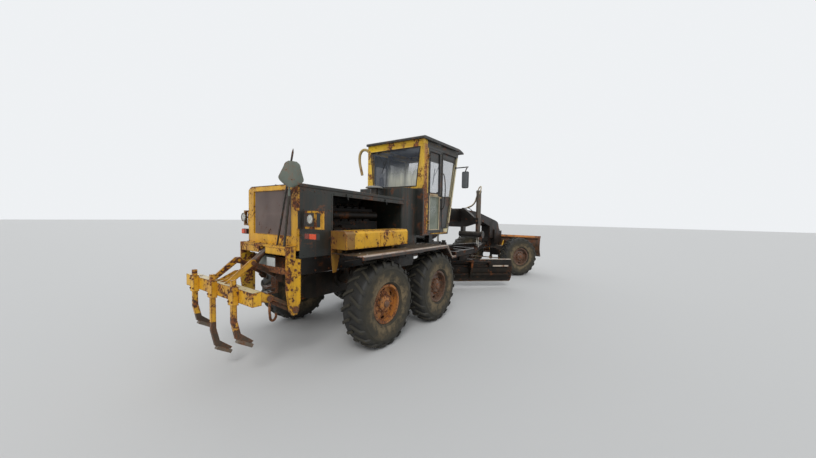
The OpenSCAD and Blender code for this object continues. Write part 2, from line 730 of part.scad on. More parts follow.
module cab_glass() {
    color([0.6, 0.7, 0.72, 0.4]) union() {
        end_shape([cab_x + 14, cab_x + 14 + glass_t]) rear_pane(0.5);
        for (z = [[1800.5, 2299.5], [2350.5, door_z1 - 0.5]])
            side_shape([-639.5, 639.5]) polygon([[front_x(z[0]) - 24, z[0]],
                [front_x(z[0]) - 24 + glass_t, z[0]],
                [front_x(z[1]) - 24 + glass_t, z[1]], [front_x(z[1]) - 24, z[1]]]);
        both_sides() side_shape([cab_y - 24, cab_y - 24 + glass_t])
            polygon([[door_x + door_w + pillar_w + 1, 1661],
            [front_x(1661) - 71, 1661], [front_x(door_z1) - 71, door_z1 - 1],
                [door_x + door_w + pillar_w + 1, door_z1 - 1]]);
    }
}

// A side door, drawn on the left
module door() {
    x = [door_x + door_gap, door_x + door_w - door_gap];
    z = [door_z0 + 2 * door_gap, door_z1 - door_gap];
    y = [cab_y - wall_t + 4, cab_y];
    glass_x = [x[0] + door_frame_w, x[1] - door_frame_w];
    union() {
        difference() {
            block(x, y, z);
            block(glass_x, [y[0] - 1, y[1] + 1], [z[0] + door_frame_w, waist_z - 30]);
            block(glass_x, [y[0] - 1, y[1] + 1], [waist_z + 30, z[1] - door_frame_w]);
        }
        // hinge tubes and their leaves
        for (low = hinge_z) difference() {
            tube_z = [low + lug_t + seat_gap, low + hinge_h - lug_t - seat_gap];
            union() {
                translate([hinge_at[0], hinge_at[1], tube_z[0]])
                    cylinder(h = tube_z[1] - tube_z[0], r = 10);
                block([hinge_at[0], hinge_at[0] + 40], [cab_y - 1, cab_y + 8], tube_z);
            }
            translate([hinge_at[0], hinge_at[1], low]) cylinder(h = hinge_h, r = hinge_pin_r + run_gap);
        }
        // handle
        block([x[1] - 48, x[1] - 20], [cab_y - 1, cab_y + 30], [waist_z - 20, waist_z - 4]);
        block([x[1] - 48, x[1] - 20], [cab_y + 20, cab_y + 32], [waist_z - 110, waist_z - 4]);
    }
}

module door_glass() {
    edge = door_gap + door_frame_w + seat_gap;
    for (z = [[door_z0 + door_gap + edge, waist_z - 30 - seat_gap],
        [waist_z + 30 + seat_gap, door_z1 - edge]])
        block([door_x + edge, door_x + door_w - edge], [cab_y - 22, cab_y - 22 + glass_t], z);
}

module seat() {
    color([0.5, 0.42, 0.3]) union() {
        block([cab_x + 180, cab_x + 480], [-160, 160], [door_z0 + seat_gap, 1900]);
        block([cab_x + 130, cab_x + 600], [-250, 250], [1899, 2010]);
        side_shape([-240, 240]) polygon([[cab_x + 120, 2000], [cab_x + 230, 2000], [cab_x + 170, 2470],
            [cab_x + 80, 2470]]);
    }
}

module steering_console() {
    color([0.15, 0.15, 0.15]) union() {
        side_shape([-110, 110]) polygon([[cab_front - 230, door_z0 + seat_gap],
            [cab_front - 80, door_z0 + seat_gap],
            [cab_front - 110, 2120], [cab_front - 220, 2120]]);
        translate([cab_front - 200, 0, 2100]) rotate([0, -25, 0]) {
            cylinder(h = 170, r = 22);
            translate([0, 0, 160]) rotate_extrude() translate([205, 0]) circle(r = 14);
            for (i = [0:2]) rotate([0, 0, i * 120]) translate([0, -12, 154]) cube([200, 24, 12]);
        }
        for (i = [0:3]) both_sides() translate([cab_front - 190 + i * 28, 150 + i * 40,
            door_z0 + seat_gap]) cylinder(h = 560, r = 9);
        both_sides() block([cab_front - 240, cab_front - 70], [130, 300],
            [door_z0 + seat_gap, door_z0 + 60]);
    }
}

module mirrors() {
    root = [front_x(3000) - 40, cab_y + seat_gap + 8, 3000];
    bend = [root[0] - 60, 1130, 2960];
    tip = [1790, 1130];
    color([0.2, 0.2, 0.2]) both_sides() union() {
        bar(root, bend, 9);
        bar(bend, [tip[0], tip[1], 2870], 9);
        for (p = [bend, [tip[0], tip[1], 2870]]) translate(p) sphere(r = 11);
        bar([tip[0], tip[1], 2870], [tip[0], tip[1], 2480], 7);
        block([1770, 1800], [1060, 1210], [2500, 2850]);
        translate(root) rotate([90, 0, 0]) cylinder(h = 16, r = 24, center = true);
    }
}

module cab_tube() {
    color([0.75, 0.6, 0.2]) union() {
        pin_y(cab_x + 80, 3250, 32, [cab_y + seat_gap, cab_y + 12]);
        bar([cab_x + 80, cab_y + 5, 3250], [cab_x + 80, 900, 3270], 24);
        bar([cab_x + 80, 893, 3271], [cab_x + 80, 1030, 3180], 24);
        bar([cab_x + 80, 1022, 3190], [cab_x + 80, 1060, 2700], 24);
    }
}

module rear_lamps() {
    color([0.8, 0.8, 0.75]) union() {
        for (side = [-1, 1]) {
            y = lamp_y[side > 0 ? 1 : 0];
            pin_x(y, lamp_z, lamp_r, [-hood_rear - 50, -hood_rear - 10]);
            pin_x(y, lamp_z, lamp_r - 18, [-hood_rear - 11, -hood_rear + 25 - seat_gap]);
        }
        for (side = [-1, 1]) {
            y = side > 0 ? [650, 790] : [-950, -728];
            block([-hood_rear - 40, -hood_rear + 20], y, [1597, 1673]);
            block([-hood_rear - 10, -hood_rear + 20],
                side > 0 ? [hood_y + seat_gap, 660] : [-740, -hood_y - seat_gap], [1620, 1650]);
        }
    }
}

module hand_tools() {
    color([0.35, 0.33, 0.3]) union() {
        // shovel, blade up
        bar([-1950, -480, bracket_top + 17 * sin(9) + seat_gap], [-1950, -590, 2200], 17);
        translate([-1950, -600, 2190]) rotate([9, 0, 0]) end_shape([-6, 6])
            polygon([[-130, 0], [130, 0], [140, 230],
            [90, 300], [0, 330], [-90, 300], [-140, 230]]);
        // crowbar
        bar([-1935, -300, bracket_top + 14 * sin(16) + seat_gap], [-1935, -640, 2680], 14);
    }
}

module lift_saddle() {
    x = [lift_x - saddle_half_x, lift_x + saddle_half_x];
    arm = lift_y - lift_barrel_r - 10;
    color([0.3, 0.26, 0.14]) difference() {
        union() {
            end_shape(x) polygon([[-arm, neck_z - 60], [-230, neck_z - 160], [230, neck_z - 160],
                [arm, neck_z - 60],
                [arm, neck_z + 100], [230, neck_top + 60], [-230, neck_top + 60], [-arm, neck_z + 100]]);
            both_sides() for (x0 = [lift_x - 110, lift_x + 80])
                side_shape([arm - 60, lift_y + 50])
                    polygon([[x0, neck_z - 60], [x0 + 30, neck_z - 60], [x0 + 30, neck_z + 90],
                        [x0, neck_z + 90]]);
            both_sides() block([lift_x - 110, lift_x + 110], [arm - 61, arm], [neck_z - 60, neck_z + 90]);
            // cross cylinder that shifts the drawbar sideways
            pin_y(lift_x - 160, neck_z - 340, 75, [-800, -160]);
            pin_y(lift_x - 160, neck_z - 340, 95, [-830, -790]);
            block([lift_x - 200, lift_x - 40], [-280, -200], [neck_z - 340, neck_z - 140]);
        }
        block([x[0] - 1, x[1] + 1], [-neck_w / 2 - seat_gap, neck_w / 2 + seat_gap],
            [neck_z - seat_gap, neck_top + seat_gap]);
        both_sides() pin_x(lift_y, neck_z + 20, 25 + run_gap, [lift_x - 120, lift_x + 120]);
    }
}

module barrel_along(a, b, r, bore, len) {
    d = b - a;
    translate([a[0], 0, a[1]]) rotate([0, 90 - atan2(d[1], d[0]), 0]) difference() {
        cylinder(h = len, r = r);
        translate([0, 0, 25]) cylinder(h = len, r = bore);
    }
}

module barrels() {
    color([0.35, 0.25, 0.18]) union() {
        both_sides() {
            difference() {
                translate([lift_x, lift_y, barrel_low]) cylinder(h = barrel_len, r = lift_barrel_r);
                translate([lift_x, lift_y, barrel_low - 1])
                    cylinder(h = barrel_len - 40, r = lift_rod_r + run_gap);
            }
            pin_x(lift_y, neck_z + 20, 25, [lift_x - 110, lift_x - 55]);
            pin_x(lift_y, neck_z + 20, 25, [lift_x + 55, lift_x + 110]);
        }
        barrel_along(dozer_top, dozer_eye, 50, 28 + run_gap, 420);
        pin_y(dozer_top[0], dozer_top[1], 30, [seat_gap - dozer_ear[0], dozer_ear[0] - seat_gap]);
    }
}

module ripper_barrel() {
    color([0.35, 0.25, 0.18]) union() {
        barrel_along(ripper_top, ripper_eye, 40, 25 + run_gap, 380);
        pin_y(ripper_top[0], ripper_top[1], 40, [-39, 39]);
        pin_y(ripper_top[0], ripper_top[1], 20, [-70, 70]);
    }
}

module rod_along(a, b, r, from) {
    d = b - a;
    translate([a[0], 0, a[1]]) rotate([0, 90 - atan2(d[1], d[0]), 0]) {
        translate([0, 0, from]) cylinder(h = norm(d) - from, r = r);
        translate([0, 0, norm(d)]) rotate([90, 0, 0]) cylinder(h = 60, r = r + 12, center = true);
    }
}

module lift_rods() {
    color([0.6, 0.6, 0.58]) both_sides() union() {
        translate([lift_x, lift_y, drawbar_z + drawbar_h + 66]) {
            cylinder(h = 1000, r = lift_rod_r);
            rotate([90, 0, 0]) cylinder(h = 60, r = 48, center = true);
        }
    }
}

module ripper_rod() {
    color([0.6, 0.6, 0.58]) rod_along(ripper_top, ripper_eye, 25, 60);
}

module dozer_rod() {
    color([0.6, 0.6, 0.58]) rod_along(dozer_top, dozer_eye, 28, 60);
}

module drawbar() {
    z = [drawbar_z, drawbar_z + drawbar_h];
    rear = circle_x - circle_r - 20;
    front = circle_x + circle_r + 40;
    color([0.2, 0.19, 0.16]) union() {
        // ball and tongue
        translate([ball_x, 0, ball_z]) sphere(r = 70);
        pin_x(0, ball_z, 45, [ball_x - 300, ball_x - 40]);
        // A-shaped arms
        translate([0, 0, z[0]]) linear_extrude(drawbar_h) union() {
            polygon([[ball_x - 200, -90], [ball_x - 200, 90], [front + 100, 560], [front, 620],
                [rear, 620], [rear, 500],
                [front - 30, 500], [ball_x - 480, 60], [ball_x - 480, -60], [front - 30, -500],
                    [rear, -500], [rear, -620],
                [front, -620], [front + 100, -560]]);
            translate([rear, -620]) square([110, 1240]);
            translate([front - 110, -620]) square([110, 1240]);
            translate([circle_x - 70, -620]) square([140, 1240]);
        }
        // side ears of the lift rods
        both_sides() block([lift_x - 60, lift_x + 60], [lift_y - 75, lift_y - 35], [z[1] - 1, z[1] + 110]);
        // gear case of the turntable
        block([circle_x - 260, circle_x + 60], [-200, 200], [z[1] - 1, z[1] + 90]);
        // shoes that hold the ring
        for (a = [65, 115, 245, 295]) rotate_about(a) {
            block([circle_r + 6, circle_r + 40], [-60, 60], [ring_z - 26, z[0] + 1]);
            block([circle_r - 40, circle_r + 40], [-60, 60], [ring_z - 26, ring_z - seat_gap]);
        }
    }
}

module rotate_about(a) {
    translate([circle_x, 0, 0]) rotate([0, 0, a]) children();
}

// Places what turns with the turntable
module at_circle() {
    translate([circle_x, 0, 0]) rotate([0, 0, blade_turn]) children();
}

// Outline of an arm that holds the blade, seen from its side
module blade_arm() {
    polygon([[-330, ring_z - 110], [-330, ring_z - drum_h + 1], [-100, ring_z - drum_h + 1],
        [-100, ring_z - 110],
        [rail_back - seat_gap, ring_z - 160], [rail_back - seat_gap, rail_low], [-210, rail_low],
            [-290, 560]]);
}

module turntable() {
    teeth = 36;
    color([0.22, 0.2, 0.17]) at_circle() union() {
        // ring with inner teeth, and the drum under it
        translate([0, 0, ring_z]) linear_extrude(ring_h) difference() {
            circle(r = circle_r);
            circle(r = circle_r - 90);
            for (i = [0:teeth - 1]) rotate(i * 360 / teeth) translate([circle_r - 92, 0])
                polygon([[0, -20], [30, -12], [30, 12], [0, 20]]);
        }
        translate([0, 0, ring_z - drum_h]) linear_extrude(drum_h + 1) difference() {
            circle(r = circle_r - 60);
            circle(r = circle_r - 120);
        }
        both_sides() {
            difference() {
                side_shape([arm_y - 25, arm_y + 25]) blade_arm();
                pin_y(shift_pin[0], shift_pin[1], 32, [arm_y - 30, arm_y + 30]);
            }
            block([-330, -100], [380, arm_y], [ring_z - drum_h - 50, ring_z - drum_h + 1]);
            // lips that hold the blade's upper rail
            for (z = [rail_high - 20 - seat_gap, rail_high + rail_t + seat_gap])
                block([rail_back - 7, rail_back + 44], [arm_y - 40, arm_y + 40], [z, z + 20]);
            block([rail_back - 38, rail_back - seat_gap], [arm_y - 40, arm_y + 40],
                [rail_high - 20, rail_high + rail_t + 20]);
        }
        block([-330, -250], [-arm_y, arm_y], [ring_z - drum_h - 50, ring_z - drum_h + 1]);
        // barrel of the blade's shift cylinder
        difference() {
            union() {
                pin_y(shift_pin[0], shift_pin[1], 45, [-560, 560]);
                both_sides() block([shift_pin[0] - 30, shift_pin[0] + 30], [440, 500],
                    [shift_pin[1], ring_z - drum_h]);
            }
            pin_y(shift_pin[0], shift_pin[1], 25 + run_gap, [-561, 530]);
        }
    }
}

// Outline of a curved blade of some height, hollow side to +X, lower edge at 0
module blade_curve(r, t, h) {
    half = asin(h / 2 / r);
    intersection() {
        difference() {
            translate([r * cos(half), h / 2]) circle(r = r + t, $fn = 96);
            translate([r * cos(half), h / 2]) circle(r = r, $fn = 96);
        }
        translate([-r, 0]) square([r, h]);
    }
}

// A plate along the lower edge of a curved blade, its foot at 0
module edge_plate(r, h, drop, tall, t) {
    half = asin(h / 2 / r);
    top_x = r * cos(half) - sqrt(r * r - (h / 2 - tall) * (h / 2 - tall));
    slope = top_x / tall;
    polygon([[seat_gap - drop * slope, -drop], [t - drop * slope, -drop], [top_x + t, tall],
        [top_x + seat_gap, tall]]);
}

module moldboard() {
    low = blade_z + 30;
    tall = blade_h - 30;
    color([0.16, 0.15, 0.13]) at_circle() union() {
        side_shape([-blade_half, blade_half]) translate([blade_fwd, low]) blade_curve(blade_r, 18, tall);
        block([blade_fwd - 34, blade_fwd + 14], [-blade_half, blade_half], [low + tall - 20, low + tall]);
        // rails that slide in the turntable's arms
        for (z = [rail_high, rail_low + 60])
            block([rail_back, -40], [-blade_half + 120, blade_half - 120], [z, z + rail_t]);
        // ear and rod of the shift cylinder
        block([shift_pin[0] - 22, -30], [-1190, -1140], [rail_high, shift_pin[1] + 25]);
        pin_y(shift_pin[0], shift_pin[1], 25, [-1150, 60]);
    }
}

module cutting_edge() {
    color([0.3, 0.28, 0.26]) at_circle() side_shape([-blade_half, blade_half])
        translate([blade_fwd, blade_z + 30]) edge_plate(blade_r, blade_h - 30, 30, 110, 19);
}

module ripper_arms() {
    color([0.6, 0.4, 0.14]) both_sides() difference() {
        union() {
            flat_bar(ripper_pin, beam_pin, 90, [ripper_arm_y - 25, ripper_arm_y + 25]);
            for (p = [ripper_pin, beam_pin]) pin_y(p[0], p[1], 52, [ripper_arm_y - 25, ripper_arm_y + 25]);
            pin_y(ripper_pin[0], ripper_pin[1], 30, [ripper_arm_y + 20, 575]);
        }
        pin_y(beam_pin[0], beam_pin[1], 30 + run_gap, [ripper_arm_y - 30, ripper_arm_y + 30]);
    }
}

module ripper_links() {
    rise = [0, ripper_link_rise];
    color([0.6, 0.4, 0.14]) both_sides() difference() {
        union() {
            flat_bar(ripper_pin + rise, beam_pin + rise, 60, [ripper_link_y - 12, ripper_link_y + 12]);
            for (p = [ripper_pin + rise, beam_pin + rise])
                pin_y(p[0], p[1], 40, [ripper_link_y - 15, ripper_link_y + 15]);
            pin_y(ripper_pin[0], ripper_pin[1] + ripper_link_rise, 20,
                [ripper_link_y + 11, ripper_link_y + 50]);
        }
        pin_y(beam_pin[0], beam_pin[1] + ripper_link_rise, 20 + run_gap,
            [ripper_link_y - 20, ripper_link_y + 20]);
    }
}

module ripper() {
    back = -ripper_rear;
    // columns: place along the beam, height of the point above the ground
    shanks = [[-1, 440], [0, 240], [1, 440]];
    color([0.6, 0.4, 0.14]) union() {
        block([back + 60, back + 160], [-ripper_half, ripper_half], [beam_z - 75, beam_z + 75]);
        for (s = shanks) translate([0, s[0] * shank_pitch, s[1]]) {
            lift = beam_z - s[1];
            block([back, back + 61], [-55, 55], [lift - 100, lift + 100]);
            side_shape([-22, 22]) polygon([[back + 8, lift + 170], [back + 55, lift + 170],
                [back + 62, 300], [back + 100, 140], [back + 240, 20],
                [back + 220, 0], [back + 50, 90], [back + 8, 280]]);
        }
        // ears of the arms, the top links and the cylinder
        both_sides() {
            for (y = [ripper_arm_y - 62, ripper_arm_y + 32]) side_shape([y, y + 30])
                polygon([[back + 100, beam_z - 74], [beam_pin[0], beam_pin[1] - 50],
                    [beam_pin[0] + 45, beam_pin[1] - 25],
                    [beam_pin[0] + 45, beam_pin[1] + 25], [back + 159, beam_z + 74],
                        [back + 100, beam_z + 74]]);
            pin_y(beam_pin[0], beam_pin[1], 30, [ripper_arm_y - 40, ripper_arm_y + 40]);
            side_shape([ripper_link_y + 18, ripper_link_y + 42])
                polygon([[back + 70, beam_z + 70], [back + 155, beam_z + 70],
                [beam_pin[0] + 40, beam_pin[1] + ripper_link_rise],
                    [beam_pin[0] + 25, beam_pin[1] + ripper_link_rise + 40],
                [beam_pin[0] - 30, beam_pin[1] + ripper_link_rise + 40]]);
            pin_y(beam_pin[0], beam_pin[1] + ripper_link_rise, 20,
                [ripper_link_y - 15, ripper_link_y + 30]);
            side_shape([44, 62]) polygon([[back + 80, beam_z + 70], [back + 159, beam_z + 70],
                [ripper_eye[0] + 35, ripper_eye[1] - 20], [ripper_eye[0] + 25, ripper_eye[1] + 35],
                [ripper_eye[0] - 35, ripper_eye[1] + 35]]);
            pin_y(ripper_eye[0], ripper_eye[1], 24, [61, 76]);
        }
    }
}

module dozer_arms() {
    low = [dozer_pin_x, dozer_pin_z[0]];
    tube = low + 0.71 * dozer_swing;
    color([0.7, 0.5, 0.12]) union() {
        both_sides() difference() {
            union() {
                flat_bar(low, low + dozer_swing, 80, [dozer_arm_y - 50, dozer_arm_y - 10]);
                for (p = [low, low + dozer_swing])
                    pin_y(p[0], p[1], 50, [dozer_arm_y - 53, dozer_arm_y - 7]);
                pin_y(low[0], low[1], 25, [125, dozer_arm_y - 40]);
            }
            pin_y(low[0] + dozer_swing[0], low[1] + dozer_swing[1], 20 + run_gap,
                [dozer_arm_y - 60, dozer_arm_y]);
        }
        // cross tube with the ears of the cylinder's eye
        pin_y(tube[0], tube[1], 26, [-dozer_arm_y + 30, dozer_arm_y - 30]);
        both_sides() {
            flat_bar(dozer_eye - 0.14 * dozer_swing, tube, 56, [44, 62]);
            pin_y(dozer_eye[0], dozer_eye[1], 24, [61, 74]);
        }
    }
}

module dozer_links() {
    high = [dozer_pin_x, dozer_pin_z[1]];
    color([0.7, 0.5, 0.12]) both_sides() difference() {
        union() {
            flat_bar(high, high + dozer_swing, 60, [dozer_arm_y - 50, dozer_arm_y - 20]);
            for (p = [high, high + dozer_swing])
                pin_y(p[0], p[1], 42, [dozer_arm_y - 53, dozer_arm_y - 17]);
            pin_y(high[0], high[1], 25, [125, dozer_arm_y - 40]);
        }
        pin_y(high[0] + dozer_swing[0], high[1] + dozer_swing[1], 20 + run_gap,
            [dozer_arm_y - 60, dozer_arm_y]);
    }
}

module dozer_blade() {
    curve_r = 620;
    edge_x = dozer_front - 23;
    pin = [for (z = dozer_pin_z) [dozer_pin_x, z] + dozer_swing];
    color([0.8, 0.45, 0.15]) union() {
        side_shape([-dozer_half, dozer_half]) translate([edge_x, dozer_z])
            blade_curve(curve_r, 14, dozer_h);
        side_shape([-dozer_half, dozer_half]) translate([edge_x - seat_gap - 1, dozer_z])
            edge_plate(curve_r, dozer_h, 0, 140, 24 + seat_gap);
        // ears behind the blade, with the pins of arms and links
        both_sides() {
            side_shape([dozer_arm_y, dozer_arm_y + 30])
                polygon([[pin[0][0] - 40, pin[0][1] - 45], [edge_x - 90, pin[0][1] - 70],
                [edge_x - 100, pin[1][1] + 70], [pin[0][0] - 40, pin[1][1] + 45]]);
            for (p = pin) pin_y(p[0], p[1], 20, [dozer_arm_y - 48, dozer_arm_y + 1]);
        }
        // stiffeners across the back
        for (z = [dozer_z + 60, dozer_z + dozer_h - 110])
            block([edge_x - 110, edge_x - 60], [-dozer_half + 60, dozer_half - 60], [z, z + 50]);
    }
}

at_machine() main_frame();
at_machine() neck();
at_machine() front_axle();
at_machine() rear_axle();
at_machine() tandem_cases();
at_machine() gearbox();
at_machine() engine();
at_machine() radiator_frame();
at_machine() radiator_grille();
at_machine() hood();
at_machine() oil_tank();
at_machine() air_cleaner();
at_machine() side_boxes();
at_machine() fenders();
at_machine() cab_lower();
at_machine() cab_frame();
at_machine() cab_roof();
at_machine() cab_glass();
at_machine() seat();
at_machine() steering_console();
at_machine() mirrors();
at_machine() cab_tube();
at_machine() rear_lamps();
at_machine() rear_bracket();
at_machine() hand_tools();
at_machine() lift_saddle();
at_machine() barrels();
at_machine() color([0.85, 0.66, 0.12]) mirror([0, 1, 0]) door();  // door_right
at_machine() color([0.85, 0.66, 0.12]) door();  // door_left
at_machine() color([0.6, 0.7, 0.72, 0.4]) mirror([0, 1, 0]) door_glass();  // door_glass_right
at_machine() color([0.6, 0.7, 0.72, 0.4]) door_glass();  // door_glass_left
at_machine() at_wheel(-half_pitch, -1)  // rim_rear_right
    rim([0.72, 0.42, 0.12]);
at_machine() at_wheel(-half_pitch, 1) rim([0.72, 0.42, 0.12]);  // rim_rear_left
at_machine() at_wheel(half_pitch, -1)  // rim_middle_right
    rim([0.5, 0.25, 0.15]);
at_machine() at_wheel(half_pitch, 1) rim([0.5, 0.25, 0.15]);  // rim_middle_left
at_machine() at_front_wheel(-1) rim([0.45, 0.3, 0.2]);  // rim_front_right
at_machine() at_front_wheel(1) rim([0.45, 0.3, 0.2]);  // rim_front_left
at_machine() at_wheel(-half_pitch, -1) tyre();  // tyre_rear_right
at_machine() at_wheel(-half_pitch, 1) tyre();  // tyre_rear_left
at_machine() at_wheel(half_pitch, -1) tyre();  // tyre_middle_right
at_machine() at_wheel(half_pitch, 1) tyre();  // tyre_middle_left
at_machine() at_front_wheel(-1) tyre();  // tyre_front_right
at_machine() at_front_wheel(1) tyre();  // tyre_front_left
at_machine() knuckle(-1);  // knuckle_right
at_machine() knuckle(1);  // knuckle_left
at_machine() tie_rod();
at_machine() drawbar();
at_machine() turntable();
at_machine() moldboard();
at_machine() cutting_edge();
at_machine() lift_rods();
at_machine() ripper_arms();
at_machine() ripper_links();
at_machine() ripper();
at_machine() ripper_barrel();
at_machine() ripper_rod();
at_machine() dozer_arms();
at_machine() dozer_links();
at_machine() dozer_blade();
at_machine() dozer_rod();
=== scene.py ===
# %% [markdown]
# # A worn motor grader, seen from its right rear corner
#
# The machine comes packed from the CAD: every rigid part is already in its place, in metres.
# This lesson dresses it. It gives each part a weathered finish and softened edges, and adds
# what a maker would add last: tyre lugs, nuts, seams, hinges, seals, pipes and cushions.

# %% Load the frame
import json
import math
import random
from functools import partial

import bmesh
import bpy
from mathutils import Matrix, Vector

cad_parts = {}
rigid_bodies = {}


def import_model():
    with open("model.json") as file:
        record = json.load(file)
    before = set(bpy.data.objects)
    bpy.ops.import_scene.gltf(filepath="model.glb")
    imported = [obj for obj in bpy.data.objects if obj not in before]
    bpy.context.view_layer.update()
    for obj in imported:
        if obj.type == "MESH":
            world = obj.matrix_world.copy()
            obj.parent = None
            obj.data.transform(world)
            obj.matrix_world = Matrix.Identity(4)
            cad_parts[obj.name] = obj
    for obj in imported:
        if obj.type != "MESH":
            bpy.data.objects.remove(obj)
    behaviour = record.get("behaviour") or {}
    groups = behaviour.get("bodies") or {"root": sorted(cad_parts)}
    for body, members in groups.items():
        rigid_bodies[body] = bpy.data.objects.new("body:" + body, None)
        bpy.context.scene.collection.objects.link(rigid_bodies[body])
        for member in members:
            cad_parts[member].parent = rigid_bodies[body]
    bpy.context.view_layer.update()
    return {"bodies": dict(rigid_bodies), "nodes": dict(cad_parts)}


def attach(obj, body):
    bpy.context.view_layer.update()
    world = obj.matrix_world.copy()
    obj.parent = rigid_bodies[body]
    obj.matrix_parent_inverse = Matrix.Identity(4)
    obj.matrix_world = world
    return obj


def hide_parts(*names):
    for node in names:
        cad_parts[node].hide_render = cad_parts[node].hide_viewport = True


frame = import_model()

# %% [markdown]
# Sizes are easier to read in the machine's own millimetres, with X running forward from the
# middle of the rear wheel group. The frame's origin lies under the middle of the machine, so
# one function moves and scales a finished mesh into the frame.

# %% From machine millimetres to the frame
MM = 0.001
MID_X = 2420.0


def settle(bm):
    bmesh.ops.translate(bm, vec=(-MID_X, 0, 0), verts=bm.verts)
    bmesh.ops.scale(bm, vec=(MM, MM, MM), verts=bm.verts)


def spot(x, y, z):
    return Vector(((x - MID_X) * MM, y * MM, z * MM))


print("middle of the rear wheel group", spot(0, 0, 0)[:])

# %% [markdown]
# The camera stands where the photo was taken: low, close behind the right rear corner and
# looking along the machine, with a short lens. Its numbers come from fitting the wheels, the
# hood and the cab, so the picture and the model can be laid over each other.

# %% The camera
PHOTO_WIDTH = 816
FOCAL = 309.71
SENSOR = 36
CAMERA_AT = (-4174, -3938, 1899)
YAW, PITCH, ROLL = (math.radians(a) for a in (35.448, -2.357, 1.002))
forward = Vector((math.cos(YAW) * math.cos(PITCH), math.sin(YAW) * math.cos(PITCH), math.sin(PITCH)))
level = Vector((math.sin(YAW), -math.cos(YAW), 0))
above = level.cross(forward)
right = math.cos(ROLL) * level + math.sin(ROLL) * above
up = math.cos(ROLL) * above - math.sin(ROLL) * level
lens = bpy.data.cameras.new("photo_camera")
lens.sensor_width = SENSOR
lens.lens = FOCAL / PHOTO_WIDTH * lens.sensor_width
lens.clip_start = 0.05
lens.clip_end = 400
camera = bpy.data.objects.new("photo_camera", lens)
camera_axes = Matrix((right, up, -forward)).transposed().to_4x4()
camera.matrix_world = Matrix.Translation(spot(*CAMERA_AT)) @ camera_axes
bpy.context.collection.objects.link(camera)
bpy.context.scene.camera = camera
print("lens", round(lens.lens, 2), "mm")

# %% [markdown]
# Light and materials are graphs of nodes. A few small helpers keep the graphs short to write:
# one adds a node and fills its sockets, others do arithmetic, mix two colours, turn a value
# into a soft mask or make noise, and the last links results to a shader's sockets.

# %% Helpers for node graphs
def add_node(tree, kind, inputs=None, **settings):
    made = tree.nodes.new(kind)
    for key, value in settings.items():
        setattr(made, key, value)
    for key, value in (inputs or {}).items():
        socket = made.inputs[key]
        if isinstance(value, bpy.types.NodeSocket):
            tree.links.new(value, socket)
        else:
            socket.default_value = value
    return made


def calc(tree, operation, first, second=0.0, clamp=False):
    sums = add_node(tree, "ShaderNodeMath", {0: first, 1: second}, operation=operation, use_clamp=clamp)
    return sums.outputs[0]


def mix_colour(tree, share, first, second):
    made = add_node(tree, "ShaderNodeMix", {0: share, 6: first, 7: second}, data_type="RGBA")
    return made.outputs[2]


def ramp(tree, value, low, high, to_low=0.0, to_high=1.0):
    limits = {"Value": value, "From Min": low, "From Max": high, "To Min": to_low, "To Max": to_high}
    return add_node(tree, "ShaderNodeMapRange", limits, interpolation_type="SMOOTHSTEP").outputs["Result"]


def noise(tree, place, scale, detail=4.0, rough=0.55):
    values = {"Vector": place, "Scale": scale, "Detail": detail, "Roughness": rough}
    return add_node(tree, "ShaderNodeTexNoise", values).outputs["Fac"]


def bump(tree, strength, distance, height):
    values = {"Strength": strength, "Distance": distance, "Height": height}
    return add_node(tree, "ShaderNodeBump", values).outputs["Normal"]


def feed(tree, shader, **results):
    """Links each result to the shader socket of that name, with _ read as a blank."""
    for label, result in results.items():
        tree.links.new(result, shader.inputs[label.replace("_", " ")])


def new_group(name, inputs, outputs):
    tree = bpy.data.node_groups.new(name, "ShaderNodeTree")
    for label, value in inputs.items():
        kind = "NodeSocketFloat" if isinstance(value, float) else "NodeSocketColor"
        tree.interface.new_socket(name=label, in_out="INPUT", socket_type=kind).default_value = value
    for label, kind in outputs.items():
        tree.interface.new_socket(name=label, in_out="OUTPUT", socket_type=kind)
    return tree, tree.nodes.new("NodeGroupInput").outputs, tree.nodes.new("NodeGroupOutput").inputs


def srgb(red, green, blue):
    linear = [((c / 255 + 0.055) / 1.055) ** 2.4 if c > 10 else c / 255 / 12.92 for c in (red, green, blue)]
    return (*linear, 1.0)


print("mid grey is", round(srgb(128, 128, 128)[0], 3), "in linear light")

# %% [markdown]
# Paint has to show its written colour, so the light is plain: a pale sky all round and two
# wide suns. Camera, mirror and glass rays see a white backdrop instead of the working light.

# %% Light, backdrop and floor
SKY_COLOUR = (0.93, 0.96, 1, 1)
SKY_STRENGTH = 0.62
BACKDROP = (0.86, 0.88, 0.9, 1)
FLOOR_COLOUR = (0.62, 0.62, 0.61, 1)
FLOOR_ROUGHNESS = 0.85
FLOOR_HALF_WIDTH = 90
FLOOR_Z = -0.001
# Columns: name, turn in degrees, strength, width in degrees
SUNS = [("key", (48, 8, -62), 1.25, 24), ("fill", (62, -6, 150), 0.45, 60)]

